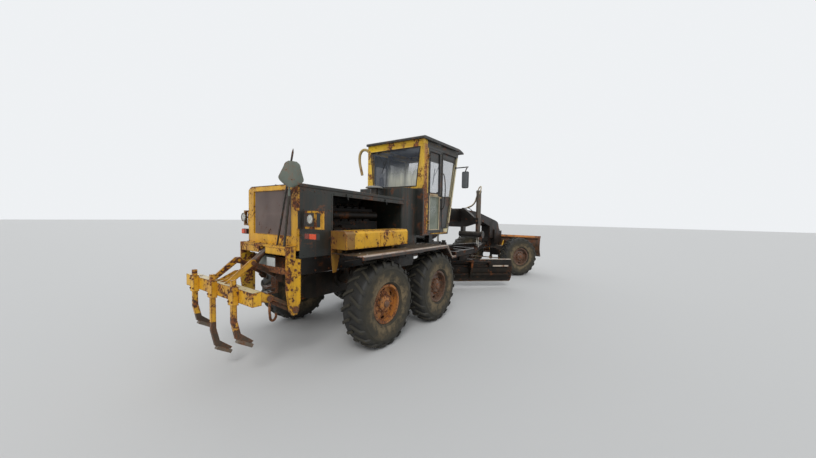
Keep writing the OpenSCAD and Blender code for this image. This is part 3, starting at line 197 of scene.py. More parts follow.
scene = bpy.context.scene
scene.view_settings.view_transform = "Standard"
world = bpy.data.worlds.new("studio")
scene.world = world
world.use_nodes = True
sky = world.node_tree
sky.nodes.clear()
rays = add_node(sky, "ShaderNodeLightPath").outputs
seen = calc(sky, "MAXIMUM", rays["Is Camera Ray"], rays["Is Glossy Ray"])
seen = calc(sky, "MAXIMUM", seen, rays["Is Transmission Ray"])
working_light = add_node(sky, "ShaderNodeBackground", {"Color": SKY_COLOUR, "Strength": SKY_STRENGTH})
white_wall = add_node(sky, "ShaderNodeBackground", {"Color": BACKDROP})
lights = {0: seen, 1: working_light.outputs[0], 2: white_wall.outputs[0]}
choice = add_node(sky, "ShaderNodeMixShader", lights)
add_node(sky, "ShaderNodeOutputWorld", {"Surface": choice.outputs[0]})
for name, turn, strength, width in SUNS:
    sun = bpy.data.lights.new(name, "SUN")
    sun.energy = strength
    sun.angle = math.radians(width)
    lamp = bpy.data.objects.new(name, sun)
    lamp.rotation_euler = [math.radians(a) for a in turn]
    bpy.context.collection.objects.link(lamp)
floor_bm = bmesh.new()
bmesh.ops.create_grid(floor_bm, x_segments=1, y_segments=1, size=FLOOR_HALF_WIDTH)
floor_mesh = bpy.data.meshes.new("floor")
floor_bm.to_mesh(floor_mesh)
floor_bm.free()
floor = bpy.data.objects.new("floor", floor_mesh)
floor.location.z = FLOOR_Z
bpy.context.collection.objects.link(floor)
floor_paint = bpy.data.materials.new("pale_floor")
floor_paint.use_nodes = True
floor_shader = floor_paint.node_tree.nodes["Principled BSDF"]
floor_shader.inputs["Base Color"].default_value = FLOOR_COLOUR
floor_shader.inputs["Roughness"].default_value = FLOOR_ROUGHNESS
floor_mesh.materials.append(floor_paint)

# %% [markdown]
# Old enamel fails in a certain order. It fades first, then chips along its edges, then rust
# spreads from the chips in blotches, rain draws stains down the walls, and dust settles on
# what faces up and on what is near the road. All of it could be painted by hand into an
# image, but one node group does it for every painted part, and each material sets its
# own amounts. The patterns read Object coordinates, so they stay on the part as it moves.

# %% The weathering group
BLACK_GRIME = srgb(38, 32, 26)
EDGE_RADIUS = 0.022
DULL = 0.92
GLOSSY = 0.40
weathering, given, result = new_group(
    "Weathering",
    {"Paint": srgb(220, 170, 30), "Faded": srgb(190, 150, 50), "Rust": srgb(140, 75, 30),
     "Deep Rust": srgb(70, 40, 25), "Rust Amount": 0.3, "Rust Size": 4.0, "Edge Wear": 0.5,
     "Streaks": 0.3, "Grime": 0.3, "Dust": srgb(150, 130, 105), "Dust Amount": 0.3},
    {"Colour": "NodeSocketColor", "Roughness": "NodeSocketFloat", "Height": "NodeSocketFloat"})
total = partial(calc, weathering, "ADD")
product = partial(calc, weathering, "MULTIPLY")
less = partial(calc, weathering, "SUBTRACT")
greater = partial(calc, weathering, "MAXIMUM")
mask = partial(ramp, weathering)
blend = partial(mix_colour, weathering)

where = add_node(weathering, "ShaderNodeTexCoord").outputs
pattern = partial(noise, weathering, where["Object"])
above_road = add_node(weathering, "ShaderNodeSeparateXYZ", {0: where["Object"]}).outputs["Z"]
facing_up = add_node(weathering, "ShaderNodeSeparateXYZ", {0: where["Normal"]}).outputs["Z"]
blotches = pattern(given["Rust Size"], 7.0, 0.62)
speckles = pattern(product(given["Rust Size"], 7.0), 4.0)
clouds = pattern(1.1, 2.0)
print("noise patterns", len([node for node in weathering.nodes if node.type == "TEX_NOISE"]))

# %% [markdown]
# Paint wears off where something can rub it, on the edges. A Bevel node gives the normal that
# a rounded edge would have, and where it turns away from the true normal there is an edge.
# Rust sits where the blotches pass a limit, and both rust and wear lower that limit.

# %% Worn edges and rust
rounded = add_node(weathering, "ShaderNodeBevel", {"Radius": EDGE_RADIUS}, samples=4).outputs["Normal"]
true_normal = add_node(weathering, "ShaderNodeNewGeometry").outputs["Normal"]
normals = {0: rounded, 1: true_normal}
agreement = add_node(weathering, "ShaderNodeVectorMath", normals, operation="DOT_PRODUCT")
edge = mask(agreement.outputs["Value"], 0.99, 0.80)
worn = product(product(edge, given["Edge Wear"]), 0.16)
field = total(product(blotches, 0.64), product(speckles, 0.26))
field = total(field, product(clouds, 0.10))
limit = less(less(0.63, product(given["Rust Amount"], 0.24)), worn)
over = less(field, limit)
rust_mask = mask(over, -0.012, 0.022)
halo = mask(over, -0.075, 0.03)
print("nodes so far", len(weathering.nodes))

# %% [markdown]
# Rain runs down the walls, so its noise is squeezed across and drawn out in height, and it
# keeps off what faces up. Oily smears follow a noise of their own. Dust lies on top faces and
# near the road, in patches.

# %% Rain, smears and dust
side_facing = less(1.0, calc(weathering, "ABSOLUTE", facing_up), True)
stretched = add_node(weathering, "ShaderNodeMapping", {"Vector": where["Object"], "Scale": (11, 11, 0.8)})
rain = mask(noise(weathering, stretched.outputs[0], 1.0, 5.0, 0.6), 0.47, 0.72)
rain = product(product(rain, side_facing), given["Streaks"], True)
smears = product(mask(pattern(2.3, 6.0, 0.65), 0.40, 0.68), given["Grime"], True)
top_facing = product(mask(facing_up, 0.25, 1.0), 0.9)
near_road = mask(above_road, 1.25, 0.1, 0.0, 0.75)
powder = total(greater(top_facing, near_road), 0.12)
patchy = mask(pattern(6.5, 6.0, 0.7), 0.3, 0.66, 0.25, 1.0)
dust_mask = product(product(powder, patchy), given["Dust Amount"], True)
print("nodes so far", len(weathering.nodes))

# %% [markdown]
# The layers are now mixed from the enamel up, in the order in which they came: faded paint, a
# brown halo, rain stains, scale, grime and dust. Roughness follows what lies on the paint, and
# scale bumps the surface.

# %% The layers of the finish
coloured = blend(mask(clouds, 0.35, 0.68), given["Paint"], given["Faded"])
coloured = blend(product(halo, 0.42), coloured, given["Rust"])
coloured = blend(rain, coloured, blend(0.45, given["Deep Rust"], given["Rust"]))
scale_colour = blend(mask(speckles, 0.36, 0.62), given["Rust"], given["Deep Rust"])
coloured = blend(rust_mask, coloured, scale_colour)
coloured = blend(smears, coloured, BLACK_GRIME)
coloured = blend(dust_mask, coloured, given["Dust"])
weathering.links.new(coloured, result["Colour"])
matt = greater(rust_mask, greater(dust_mask, smears))
weathering.links.new(mask(matt, 0.0, 1.0, GLOSSY, DULL), result["Roughness"])
weathering.links.new(total(product(rust_mask, -0.6), product(speckles, 0.35)), result["Height"])
print("weathering nodes", len(weathering.nodes))

# %% [markdown]
# Each painted finish is one row of the table: its colours as they read on the machine, then
# how far it has rusted, worn, streaked and collected dust. The Principled shader stays in
# the material itself, and the group only feeds its colour, roughness and bump.

# %% Painted and rusty finishes
RUST = (150, 84, 36)
DEEP_RUST = (72, 42, 28)
ROAD_DUST = (150, 132, 106)
AMOUNTS = ("Rust Amount", "Rust Size", "Edge Wear", "Streaks", "Grime", "Dust Amount")
# Columns: name, paint, faded paint, then one value for each name in AMOUNTS
PAINTS = [
    ("yellow_paint", (232, 176, 16), (214, 158, 30), 0.36, 4.6, 0.9, 0.3, 0.16, 0.2),
    ("brown_yellow", (158, 116, 40), (136, 96, 44), 0.4, 4.0, 0.6, 0.5, 0.3, 0.3),
    ("cab_yellow", (228, 186, 38), (208, 166, 54), 0.34, 5.0, 0.8, 0.35, 0.1, 0.15),
    ("rusty_yellow", (206, 150, 40), (176, 116, 44), 0.56, 5.0, 0.8, 0.5, 0.1, 0.2),
    ("pale_yellow", (222, 208, 158), (206, 194, 150), 0.22, 5.0, 0.6, 0.4, 0.15, 0.3),
    ("dark_trim", (27, 29, 30), (38, 40, 39), 0.0, 5.0, 0.2, 0.05, 0.1, 0.12),
    ("oily_black", (13, 13, 14), (21, 20, 19), 0.03, 4.0, 0.3, 0.08, 0.3, 0.06),
    ("black_paint", (28, 30, 31), (40, 42, 41), 0.04, 5.0, 0.4, 0.1, 0.15, 0.25),
    ("dark_hood", (25, 31, 30), (34, 40, 37), 0.04, 4.0, 0.35, 0.2, 0.25, 0.22),
    ("frame_paint", (22, 21, 20), (33, 31, 27), 0.06, 4.0, 0.4, 0.12, 0.35, 0.16),
    ("dark_iron", (20, 20, 19), (29, 28, 25), 0.08, 6.0, 0.35, 0.1, 0.5, 0.14),
    ("barrel_grey", (86, 80, 70), (70, 64, 56), 0.26, 7.0, 0.4, 0.4, 0.35, 0.2),
    ("dark_brown", (58, 42, 30), (44, 34, 26), 0.34, 4.4, 0.5, 0.4, 0.4, 0.2),
    ("olive_brown", (116, 98, 50), (132, 110, 62), 0.24, 6.0, 0.5, 0.5, 0.2, 0.2),
    ("rust_iron", (150, 96, 44), (128, 84, 46), 0.58, 4.4, 0.7, 0.3, 0.35, 0.3),
    ("rim_orange", (176, 112, 42), (146, 92, 42), 0.52, 6.0, 0.8, 0.1, 0.45, 0.2),
    ("rim_brown", (104, 76, 64), (88, 68, 58), 0.46, 6.0, 0.7, 0.3, 0.45, 0.25),
    ("grille_metal", (176, 160, 154), (154, 140, 136), 0.0, 6.0, 0.0, 0.05, 0.12, 0.25),
    ("edge_steel", (96, 90, 82), (120, 110, 98), 0.34, 5.0, 0.2, 0.3, 0.3, 0.4),
    ("bare_steel", (92, 88, 80), (110, 100, 88), 0.3, 7.0, 0.3, 0.3, 0.3, 0.3),
    ("fender_paint", (172, 154, 148), (150, 132, 124), 0.2, 5.0, 0.5, 0.3, 0.2, 0.4),
    ("pale_edge", (196, 184, 170), (176, 164, 150), 0.16, 6.0, 0.5, 0.3, 0.15, 0.3),
    ("fender_under", (42, 37, 33), (56, 49, 43), 0.2, 5.0, 0.3, 0.3, 0.5, 0.2),
    ("blade_orange", (206, 128, 44), (190, 120, 56), 0.5, 4.4, 0.8, 0.4, 0.25, 0.35),
    ("nut_iron", (96, 66, 46), (82, 58, 44), 0.5, 18.0, 0.4, 0.3, 0.4, 0.2),
    ("cap_grey", (126, 130, 128), (150, 152, 146), 0.08, 8.0, 0.4, 0.3, 0.3, 0.4),
    ("tube_tan", (190, 162, 96), (168, 142, 88), 0.12, 8.0, 0.3, 0.3, 0.2, 0.3),
    ("waist_beige", (198, 176, 134), (180, 158, 120), 0.16, 9.0, 0.4, 0.3, 0.2, 0.3),
    ("grey_green", (78, 88, 80), (102, 110, 100), 0.02, 9.0, 0.4, 0.3, 0.3, 0.3),
    ("dark_wood", (36, 32, 26), (50, 43, 34), 0.3, 20.0, 0.2, 0.3, 0.4, 0.2),
]
SPECIAL = {
    "oily_black": {"shine": 0.15}, "edge_steel": {"metal": 0.35}, "bare_steel": {"metal": 0.3},
    "rim_brown": {"rust": (108, 70, 48)}, "dark_wood": {"rust": (60, 48, 36), "deep": (40, 32, 26)},
}
finishes = {}


def new_material(name, **values):
    material = bpy.data.materials.new(name)
    material.use_nodes = True
    shader = material.node_tree.nodes["Principled BSDF"]
    for label, value in values.items():
        shader.inputs[label.replace("_", " ")].default_value = value
    finishes[name] = material
    return material.node_tree, shader


def coat(name, paint, faded, *amounts, rust=RUST, deep=DEEP_RUST, metal=0.0, shine=0.5):
    tree, shader = new_material(name, Metallic=metal, Specular_IOR_Level=shine)
    wear = add_node(tree, "ShaderNodeGroup", node_tree=weathering)
    colours = {"Paint": paint, "Faded": faded, "Rust": rust, "Deep Rust": deep, "Dust": ROAD_DUST}
    for label, colour in colours.items():
        wear.inputs[label].default_value = srgb(*colour)
    for label, amount in zip(AMOUNTS, amounts):
        wear.inputs[label].default_value = amount
    skin = bump(tree, 0.25, 0.004, wear.outputs["Height"])
    feed(tree, shader, Base_Color=wear.outputs["Colour"], Roughness=wear.outputs["Roughness"], Normal=skin)


for name, *row in PAINTS:
    coat(name, *row, **SPECIAL.get(name, {}))
print("painted finishes", len(finishes))

# %% [markdown]
# Rubber is nearly black, but a working tyre is mostly the colour of the road. The share of
# dust differs over the tyre: it is thick on the sidewall, the lug tops get a paler brown as a
# painted highlight and the grooves stay dark as painted shade, so each tyre mesh carries its
# own attribute and the material reads it.

# %% Tyre rubber
def on_object(tree):
    return add_node(tree, "ShaderNodeTexCoord").outputs["Object"]


tree, shader = new_material("tyre_rubber")
place = on_object(tree)
# The attribute read here holds road dust on the sidewalls and a painted highlight on the lug tops, with dark
# grooves as painted shade.
tyre_dust_and_highlight = add_node(tree, "ShaderNodeAttribute", attribute_name="dust_and_highlight").outputs["Fac"]
grit = noise(tree, place, 9.0, 7.0, 0.7)
# The pale mix serves both as road dust on the sidewalls and as a painted highlight on the lug tops.
share = calc(tree, "MULTIPLY", tyre_dust_and_highlight, ramp(tree, grit, 0.25, 0.7, 0.6, 1.1), True)
rubber = mix_colour(tree, noise(tree, place, 30.0), srgb(22, 22, 21), srgb(34, 33, 31))
road_dust_and_highlight = mix_colour(tree, ramp(tree, share, 0.45, 0.85), srgb(66, 61, 46), srgb(122, 106, 80))
feed(tree, shader, Base_Color=mix_colour(tree, share, rubber, road_dust_and_highlight),
     Roughness=ramp(tree, share, 0.0, 0.8, 0.62, 0.95),
     Normal=bump(tree, 0.2, 0.003, noise(tree, place, 60.0)))
print("tyre rubber nodes", len(tree.nodes))

# %% [markdown]
# The panes are old and milky. A pane could be clear glass with a dirt picture on it, but here
# its Alpha does the work: where haze lies it covers more of what is behind. The rear pane is
# dirtiest low at its right, where the rain has washed the dust down.

# %% Window glass
REAR_PANE_X = (900 - MID_X) * MM
PANE_IOR = 1.45
tree, shader = new_material("window_glass", IOR=PANE_IOR)
place = on_object(tree)
split = add_node(tree, "ShaderNodeSeparateXYZ", {0: place}).outputs
rain_marks = add_node(tree, "ShaderNodeMapping", {"Vector": place, "Scale": (9, 9, 1.2)}).outputs[0]
film = ramp(tree, noise(tree, rain_marks, 1.0, 4.0), 0.3, 0.75, 0.55, 1.0)
behind = ramp(tree, split["X"], REAR_PANE_X + 0.02, REAR_PANE_X - 0.02)
low_right = calc(tree, "MULTIPLY", ramp(tree, split["Z"], 3.05, 2.58), ramp(tree, split["Y"], 0.34, 0.04))
haze = calc(tree, "MULTIPLY", low_right, calc(tree, "MULTIPLY", film, behind))
feed(tree, shader, Base_Color=mix_colour(tree, haze, srgb(120, 128, 140), srgb(206, 204, 184)),
     Alpha=ramp(tree, haze, 0.0, 1.0, 0.16, 0.80), Roughness=ramp(tree, haze, 0.0, 1.0, 0.04, 0.45))

# Columns: name, thin colour, milky colour, thin cover, milky cover
for name, low, high, thin, thick in [("hazy_glass", (108, 116, 102), (134, 140, 124), 0.7, 0.88),
                                     ("dim_glass", (42, 38, 50), (58, 52, 66), 0.6, 0.76)]:
    tree, shader = new_material(name, IOR=PANE_IOR)
    milky = ramp(tree, noise(tree, on_object(tree), 1.6, 3.0), 0.3, 0.7)
    feed(tree, shader, Base_Color=mix_colour(tree, milky, srgb(*low), srgb(*high)),
         Alpha=ramp(tree, milky, 0.0, 1.0, thin, thick), Roughness=ramp(tree, milky, 0.0, 1.0, 0.1, 0.4))
print("panes", [name for name in finishes if name.endswith("glass")])

# %% [markdown]
# A lamp's glass is ribbed so that it spreads its light. The clear lens lets light through and
# is rippled by noise, and the coloured ones are opaque plastic with fine level ribs.

# %% Lamp glass and coloured lenses
tree, shader = new_material("lamp_glass", Base_Color=srgb(236, 236, 228), Roughness=0.12,
                            Transmission_Weight=0.55, IOR=1.45)
feed(tree, shader, Normal=bump(tree, 0.4, 0.004, noise(tree, on_object(tree), 70.0)))
for name, low, high in [("red_lens", (206, 60, 20), (228, 86, 30)),
                        ("orange_lens", (100, 34, 22), (136, 50, 28))]:
    tree, shader = new_material(name, Roughness=0.22)
    wave = {"Vector": on_object(tree), "Scale": 60.0}
    ribs = add_node(tree, "ShaderNodeTexWave", wave, bands_direction="Z").outputs["Fac"]
    feed(tree, shader, Base_Color=mix_colour(tree, ribs, srgb(*low), srgb(*high)),
         Normal=bump(tree, 0.3, 0.002, ribs))
print("lenses", [name for name in finishes if name.endswith("lens")])

# %% [markdown]
# A cylinder's rod is chromed and smeared with oil, and a mirror's face is dulled metal. Cloth,
# rubber, plastic and the blank plates share one recipe: two tones that differ in stain and a
# fine grain that only bumps the surface.

# %% Chrome, mirror and small surfaces
tree, shader = new_material("rod_chrome", Metallic=0.9)
oily = ramp(tree, noise(tree, on_object(tree), 6.0, 5.0), 0.4, 0.7)
feed(tree, shader, Base_Color=mix_colour(tree, oily, srgb(176, 174, 168), srgb(110, 98, 80)),
     Roughness=ramp(tree, oily, 0.0, 1.0, 0.16, 0.6))
tree, shader = new_material("mirror_face", Metallic=1.0, Base_Color=srgb(118, 124, 128))
feed(tree, shader, Roughness=ramp(tree, noise(tree, on_object(tree), 12.0), 0.4, 0.8, 0.3, 0.6))
# Columns: name, clean colour, stained colour, how fine the grain is
SURFACES = [
    ("cushion", (116, 92, 66), (138, 112, 82), 160.0),
    ("black_rubber", (22, 22, 22), (36, 35, 33), 90.0),
    ("black_plastic", (26, 26, 27), (40, 40, 40), 120.0),
    ("pale_cloth", (176, 160, 132), (196, 182, 152), 130.0),
    ("blank_plate", (196, 200, 198), (170, 172, 166), 14.0),
]
for name, low, high, grain in SURFACES:
    tree, shader = new_material(name)
    place = on_object(tree)
    stain = ramp(tree, noise(tree, place, 5.0, 5.0), 0.35, 0.7)
    feed(tree, shader, Base_Color=mix_colour(tree, stain, srgb(*low), srgb(*high)),
         Roughness=ramp(tree, stain, 0.0, 1.0, 0.5, 0.8),
         Normal=bump(tree, 0.25, 0.001, noise(tree, place, grain, 2.0)))
print("finishes", len(finishes))

# %% [markdown]
# Real plate and castings have no knife edges, and a bright line along a softened edge tells
# the eye how big the machine is. The CAD parts can't be edited, so each is copied, its loose
# triangles are merged, flat regions are dissolved into whole faces, and a Bevel modifier
# rounds what is left. The copy then stands for the part.

# %% Dress a CAD part
EDGE_ANGLE = 38
MERGE_WITHIN = 0.00002
FLAT_WITHIN = 0.8


def shade(mesh, degrees):
    mesh.shade_smooth()
    mesh.set_sharp_from_angle(angle=math.radians(degrees))


def soften(obj, width):
    bevel = obj.modifiers.new("soft_edges", "BEVEL")
    bevel.width = width
    bevel.segments = 2
    bevel.limit_method = "ANGLE"
    bevel.angle_limit = math.radians(EDGE_ANGLE)
    bevel.harden_normals = True
    bevel.use_clamp_overlap = True


def body_of_node(node):
    return next(name for name, body in frame["bodies"].items() if frame["nodes"][node].parent is body)


def dressed(node, finish, width):
    bm = bmesh.new()
    bm.from_mesh(frame["nodes"][node].data)
    bmesh.ops.remove_doubles(bm, verts=bm.verts, dist=MERGE_WITHIN)
    bmesh.ops.dissolve_limit(bm, angle_limit=math.radians(FLAT_WITHIN), verts=bm.verts, edges=bm.edges)
    mesh = bpy.data.meshes.new(node + "_dressed")
    bm.to_mesh(mesh)
    bm.free()
    obj = bpy.data.objects.new(node + "_dressed", mesh)
    bpy.context.collection.objects.link(obj)
    mesh.materials.append(finishes[finish])
    shade(mesh, EDGE_ANGLE)
    if width:
        soften(obj, width)
    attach(obj, body_of_node(node))
    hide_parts(node)
    return obj


# Part: its finish and the width of its softened edges in metres
DRESSED = {
    "main_frame": ("frame_paint", 0.006), "neck": ("oily_black", 0.008),
    "front_axle": ("frame_paint", 0.008), "rear_axle": ("dark_iron", 0.006),
    "tandem_cases": ("frame_paint", 0.010), "gearbox": ("dark_iron", 0.008),
    "engine": ("oily_black", 0.005), "radiator_frame": ("yellow_paint", 0.004),
    "hood": ("dark_hood", 0.004), "oil_tank": ("dark_hood", 0.006), "side_boxes": ("yellow_paint", 0.006),
    "fenders": ("fender_under", 0.003), "cab_lower": ("black_paint", 0.005),
    "cab_frame": ("cab_yellow", 0.005), "cab_roof": ("black_paint", 0.006),
    "door_right": ("dark_trim", 0.003), "door_left": ("dark_trim", 0.003),
    "rear_bracket": ("yellow_paint", 0.004), "lift_saddle": ("dark_iron", 0.005),
    "barrels": ("barrel_grey", 0.004), "knuckle_right": ("frame_paint", 0.005),
    "knuckle_left": ("frame_paint", 0.005), "tie_rod": ("bare_steel", 0.003),
    "drawbar": ("oily_black", 0.006), "turntable": ("oily_black", 0.004),
    "moldboard": ("oily_black", 0.004), "cutting_edge": ("edge_steel", 0.003),
    "ripper_arms": ("dark_brown", 0.005), "ripper_links": ("dark_brown", 0.004),
    "ripper": ("yellow_paint", 0.006), "ripper_barrel": ("dark_brown", 0.004),
    "dozer_arms": ("yellow_paint", 0.005), "dozer_links": ("yellow_paint", 0.004),
    "dozer_blade": ("dark_brown", 0.004), "lift_rods": ("rod_chrome", 0.003),
    "ripper_rod": ("rod_chrome", 0.003), "dozer_rod": ("rod_chrome", 0.003),
    "cab_glass": ("window_glass", 0.0), "door_glass_right": ("window_glass", 0.0),
    "door_glass_left": ("dim_glass", 0.0),
}
pieces = {node: dressed(node, *looks) for node, looks in DRESSED.items()}
print("dressed", len(pieces), "parts")

# %% [markdown]
# New pieces start from a few primitives, added to a bmesh in machine millimetres, so one piece
# can gather many. A box is a cube scaled between two corners, and a rod is a cone with equal
# ends, laid along its way by a matrix. What stands on both sides is written once, for the
# left, and mirrored.

# %% Boxes and rods
SIDES = (("right", -1), ("left", 1))


def add_box(bm, low, high, turn=None):
    verts = bmesh.ops.create_cube(bm, size=1.0)["verts"]
    low, high = Vector(low), Vector(high)
    bmesh.ops.scale(bm, vec=high - low, verts=verts)
    if turn:
        bmesh.ops.transform(bm, matrix=turn, verts=verts)
    bmesh.ops.translate(bm, vec=(low + high) / 2, verts=verts)
    return verts


def mirrored(side, low, high):
    """The corners of a box on the left side, or of its mirror image on the right."""
    if side > 0:
        return low, high
    return (low[0], -high[1], low[2]), (high[0], -low[1], high[2])


def add_side_box(bm, side, low, high):
    return add_box(bm, *mirrored(side, low, high))


def along(start, end):
    way = Vector(end) - Vector(start)
    return Matrix.Translation(Vector(start)) @ way.to_track_quat("Z", "Y").to_matrix().to_4x4()


def add_rod(bm, start, end, radius, sides=16, tip=None):
    length = (Vector(end) - Vector(start)).length
    shape = along(start, end) @ Matrix.Translation((0, 0, length / 2))
    return bmesh.ops.create_cone(bm, cap_ends=True, segments=sides, radius1=radius,
                                 radius2=radius if tip is None else tip, depth=length, matrix=shape)["verts"]


print("sides", [name for name, side in SIDES])

# %% [markdown]
# A bolt could have its thread and shank, but only a washer and a hexagon show. Bolts come in
# rows and circles, so one call takes a list of seats. A seal or a belt is a closed loop of
# rods with a ball at each corner, because the ball fills the gap that two rods leave there.

# %% Bolts, circles and loops
UP = (0, 0, 1)
BACK = (-1, 0, 0)
RIGHT = (0, -1, 0)


def ring(count, radius, shift=0.0):
    """Points spaced evenly on a circle, as pairs."""
    angles = [(i + shift) * math.tau / count for i in range(count)]
    return [(radius * math.cos(a), radius * math.sin(a)) for a in angles]


def add_bolts(bm, seats, way, size, tall):
    """A washer and a hexagonal head on each seat."""
    way = Vector(way).normalized()
    for seat in seats:
        seat = Vector(seat)
        add_rod(bm, seat - way, seat + way * 2.5, size * 1.15, 14)
        add_rod(bm, seat + way * 2, seat + way * (2 + tall), size, 6)


def wall_bolts(bm, side, y, places, size, tall):
    """Bolts on an upright wall, from their (x, z) pairs."""
    add_bolts(bm, [(x, side * y, z) for x, z in places], (0, side, 0), size, tall)


def add_ball(bm, centre, radius):
    made = bmesh.ops.create_uvsphere(bm, u_segments=12, v_segments=8, radius=radius)["verts"]
    bmesh.ops.translate(bm, vec=centre, verts=made)


def add_loop(bm, corners, radius, sides=10):
    for start, end in zip(corners, corners[1:] + corners[:1]):
        add_rod(bm, start, end, radius, sides)
        add_ball(bm, start, radius)


print("a nut's corners", [(round(x, 2), round(y, 2)) for x, y in ring(6, 1.0)])

# %% [markdown]
# Caps, lamps and rings are turned on a lathe, and here too: an outline is spun about Z and
# then laid where it belongs. A torus is a small circle as the outline. A cast cover or a
# mirror's head is a box, and a bevel on its chosen edges rounds it.

# %% Turned shapes and rounded boxes
def add_lathe(bm, profile, steps, matrix=None):
    """Spins an open outline of (radius, height) pairs about Z."""
    verts = [bm.verts.new((radius, 0, height)) for radius, height in profile]
    edges = [bm.edges.new(pair) for pair in zip(verts, verts[1:])]
    before = set(bm.verts) - set(verts)
    bmesh.ops.spin(bm, geom=verts + edges, cent=(0, 0, 0), axis=(0, 0, 1), angle=math.tau, steps=steps,
                   use_merge=True)
    made = [v for v in bm.verts if v not in before]
    bmesh.ops.remove_doubles(bm, verts=made, dist=0.05)
    if matrix:
        made = [v for v in bm.verts if v not in before]
        bmesh.ops.transform(bm, matrix=matrix, verts=made)


def add_torus(bm, radius, thick, height, steps, sides=10, matrix=None):
    profile = [(radius + out, height + rise) for out, rise in ring(sides, thick)]
    add_lathe(bm, profile + profile[:1], steps, matrix)


def facing_back(x, y, z):
    return Matrix.Translation((x, y, z)) @ Matrix.Rotation(math.radians(-90), 4, "Y")


def facing_side(x, y, z, side):
    return Matrix.Translation((x, y, z)) @ Matrix.Rotation(math.radians(-90 * side), 4, "X")


def round_edges(bm, verts, width, segments, along_x=False):
    edges = {e for v in verts for e in v.link_edges}
    if along_x:
        edges = {e for e in edges if abs((e.verts[0].co - e.verts[1].co).x) > 1}
    bmesh.ops.bevel(bm, geom=list(edges), offset=width, segments=segments, profile=0.5, affect="EDGES",
                    material=-1)


print("a lamp faces", [round(v) for v in facing_back(0, 0, 0) @ Vector(UP)])

# %% [markdown]
# Two functions close the work. `finish_piece` turns a bmesh's faces outward, moves the mesh
# into the frame, gives it a finish and lets it ride on a body. `add_pipe` does the same for
# bent tubes, which are curves with a round section because a curve bends more smoothly
# than a chain of rods.

# %% Finish a piece
def place_piece(obj, body, finish, replaces):
    bpy.context.collection.objects.link(obj)
    obj.data.materials.append(finishes[finish])
    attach(obj, body)
    if replaces:
        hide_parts(*replaces)


def finish_piece(bm, name, body, finish, replaces=(), smooth=35, bevel=0.0):
    bmesh.ops.recalc_face_normals(bm, faces=bm.faces)
    settle(bm)
    mesh = bpy.data.meshes.new(name)
    bm.to_mesh(mesh)
    bm.free()
    shade(mesh, smooth)
    obj = bpy.data.objects.new(name, mesh)
    if bevel:
        soften(obj, bevel)
    place_piece(obj, body, finish, replaces)
    print(name, "on", body, "has", len(mesh.polygons), "faces")
    return obj


def add_pipe(name, routes, radius, body, finish, replaces=()):
    """Round pipes along routes of machine points, one smooth curve each."""
    curve = bpy.data.curves.new(name, "CURVE")
    curve.dimensions = "3D"
    curve.bevel_depth = radius * MM
    curve.bevel_resolution = 3
    curve.resolution_u = 8
    curve.use_fill_caps = True
    for route in routes:
        spline = curve.splines.new("BEZIER")
        spline.bezier_points.add(len(route) - 1)
        for knot, point in zip(spline.bezier_points, route):
            knot.co = spot(*point)
            knot.handle_left_type = knot.handle_right_type = "AUTO"
    place_piece(bpy.data.objects.new(name, curve), body, finish, replaces)
    print(name, "on", body, "has", len(routes), "pipes")


# %% [markdown]
# The tyres carry the picture. A tyre could be one sculpted mesh, but the real one is a smooth
# carcass with rubber bars moulded onto it, and that is the cheaper way too: a profile spun
# into the carcass, and one lug, cut from a box, bent over the crown and copied round. The
# lugs lean like an open V, stand 30 mm high and curl over the shoulder.

# %% The tyres
TYRE_R = 630.0
SHOULDER = 140
LUGS = 20
LUG_SLANT = math.radians(36)
LUG_WIDTH = 50
LUG_REACH = 196
LUG_SKEW = 165
LUG_ROOT = 586
CURL_FROM = 0.72
CURL_DEPTH = 34
CROWN_R = 603
CROWN_DROP = 8
SHOULDER_DROP = 46
# The carcass from bead to crown, as (radius, distance from the middle) pairs
HALF_PROFILE = [(262, 118), (268, 127), (290, 128), (297, 146), (306, 158), (318, 165), (322, 172),
                (330, 173), (334, 169), (372, 179), (420, 185), (468, 186), (500, 183), (505, 186),
                (512, 185), (516, 181), (548, 172), (574, 160), (590, 144), (598, 118), (602, 60)]


def crown(reach):
    """Radius of the lug tops, this far to either side of the tyre's middle."""
    if reach < SHOULDER:
        return TYRE_R - CROWN_DROP * (reach / SHOULDER) ** 2
    return TYRE_R - CROWN_DROP - SHOULDER_DROP * ((reach - SHOULDER) / 44) ** 1.6


def add_lug(bm, side, turn):
    """One lug. Points already shaped carry a tag, so the fresh ones are those without."""
    verts = bmesh.ops.create_cube(bm, size=1.0)["verts"]
    long_edges = {e for v in verts for e in v.link_edges if abs((e.verts[0].co - e.verts[1].co).x) > 0.5}
    bmesh.ops.subdivide_edges(bm, edges=list(long_edges), cuts=6, use_grid_fill=True)
    lug = [v for v in bm.verts if not v.tag]
    for v in lug:
        along_lug, across, rise = v.co.x + 0.5, v.co.y, v.co.z + 0.5
        place = side * (-10 + along_lug * LUG_REACH)
        width = (LUG_WIDTH - 8 * rise) * (1.0 + 0.22 * along_lug)
        lean = math.tan(LUG_SLANT) * (along_lug ** 1.25) * LUG_SKEW
        angle = (lean + across * width) / TYRE_R + turn
        low = LUG_ROOT - CURL_DEPTH * max(0.0, along_lug - CURL_FROM) / (1 - CURL_FROM)
        radius = low + rise * (crown(abs(place)) - low)
        v.co = (radius * math.cos(angle), radius * math.sin(angle), place)
        v.tag = True


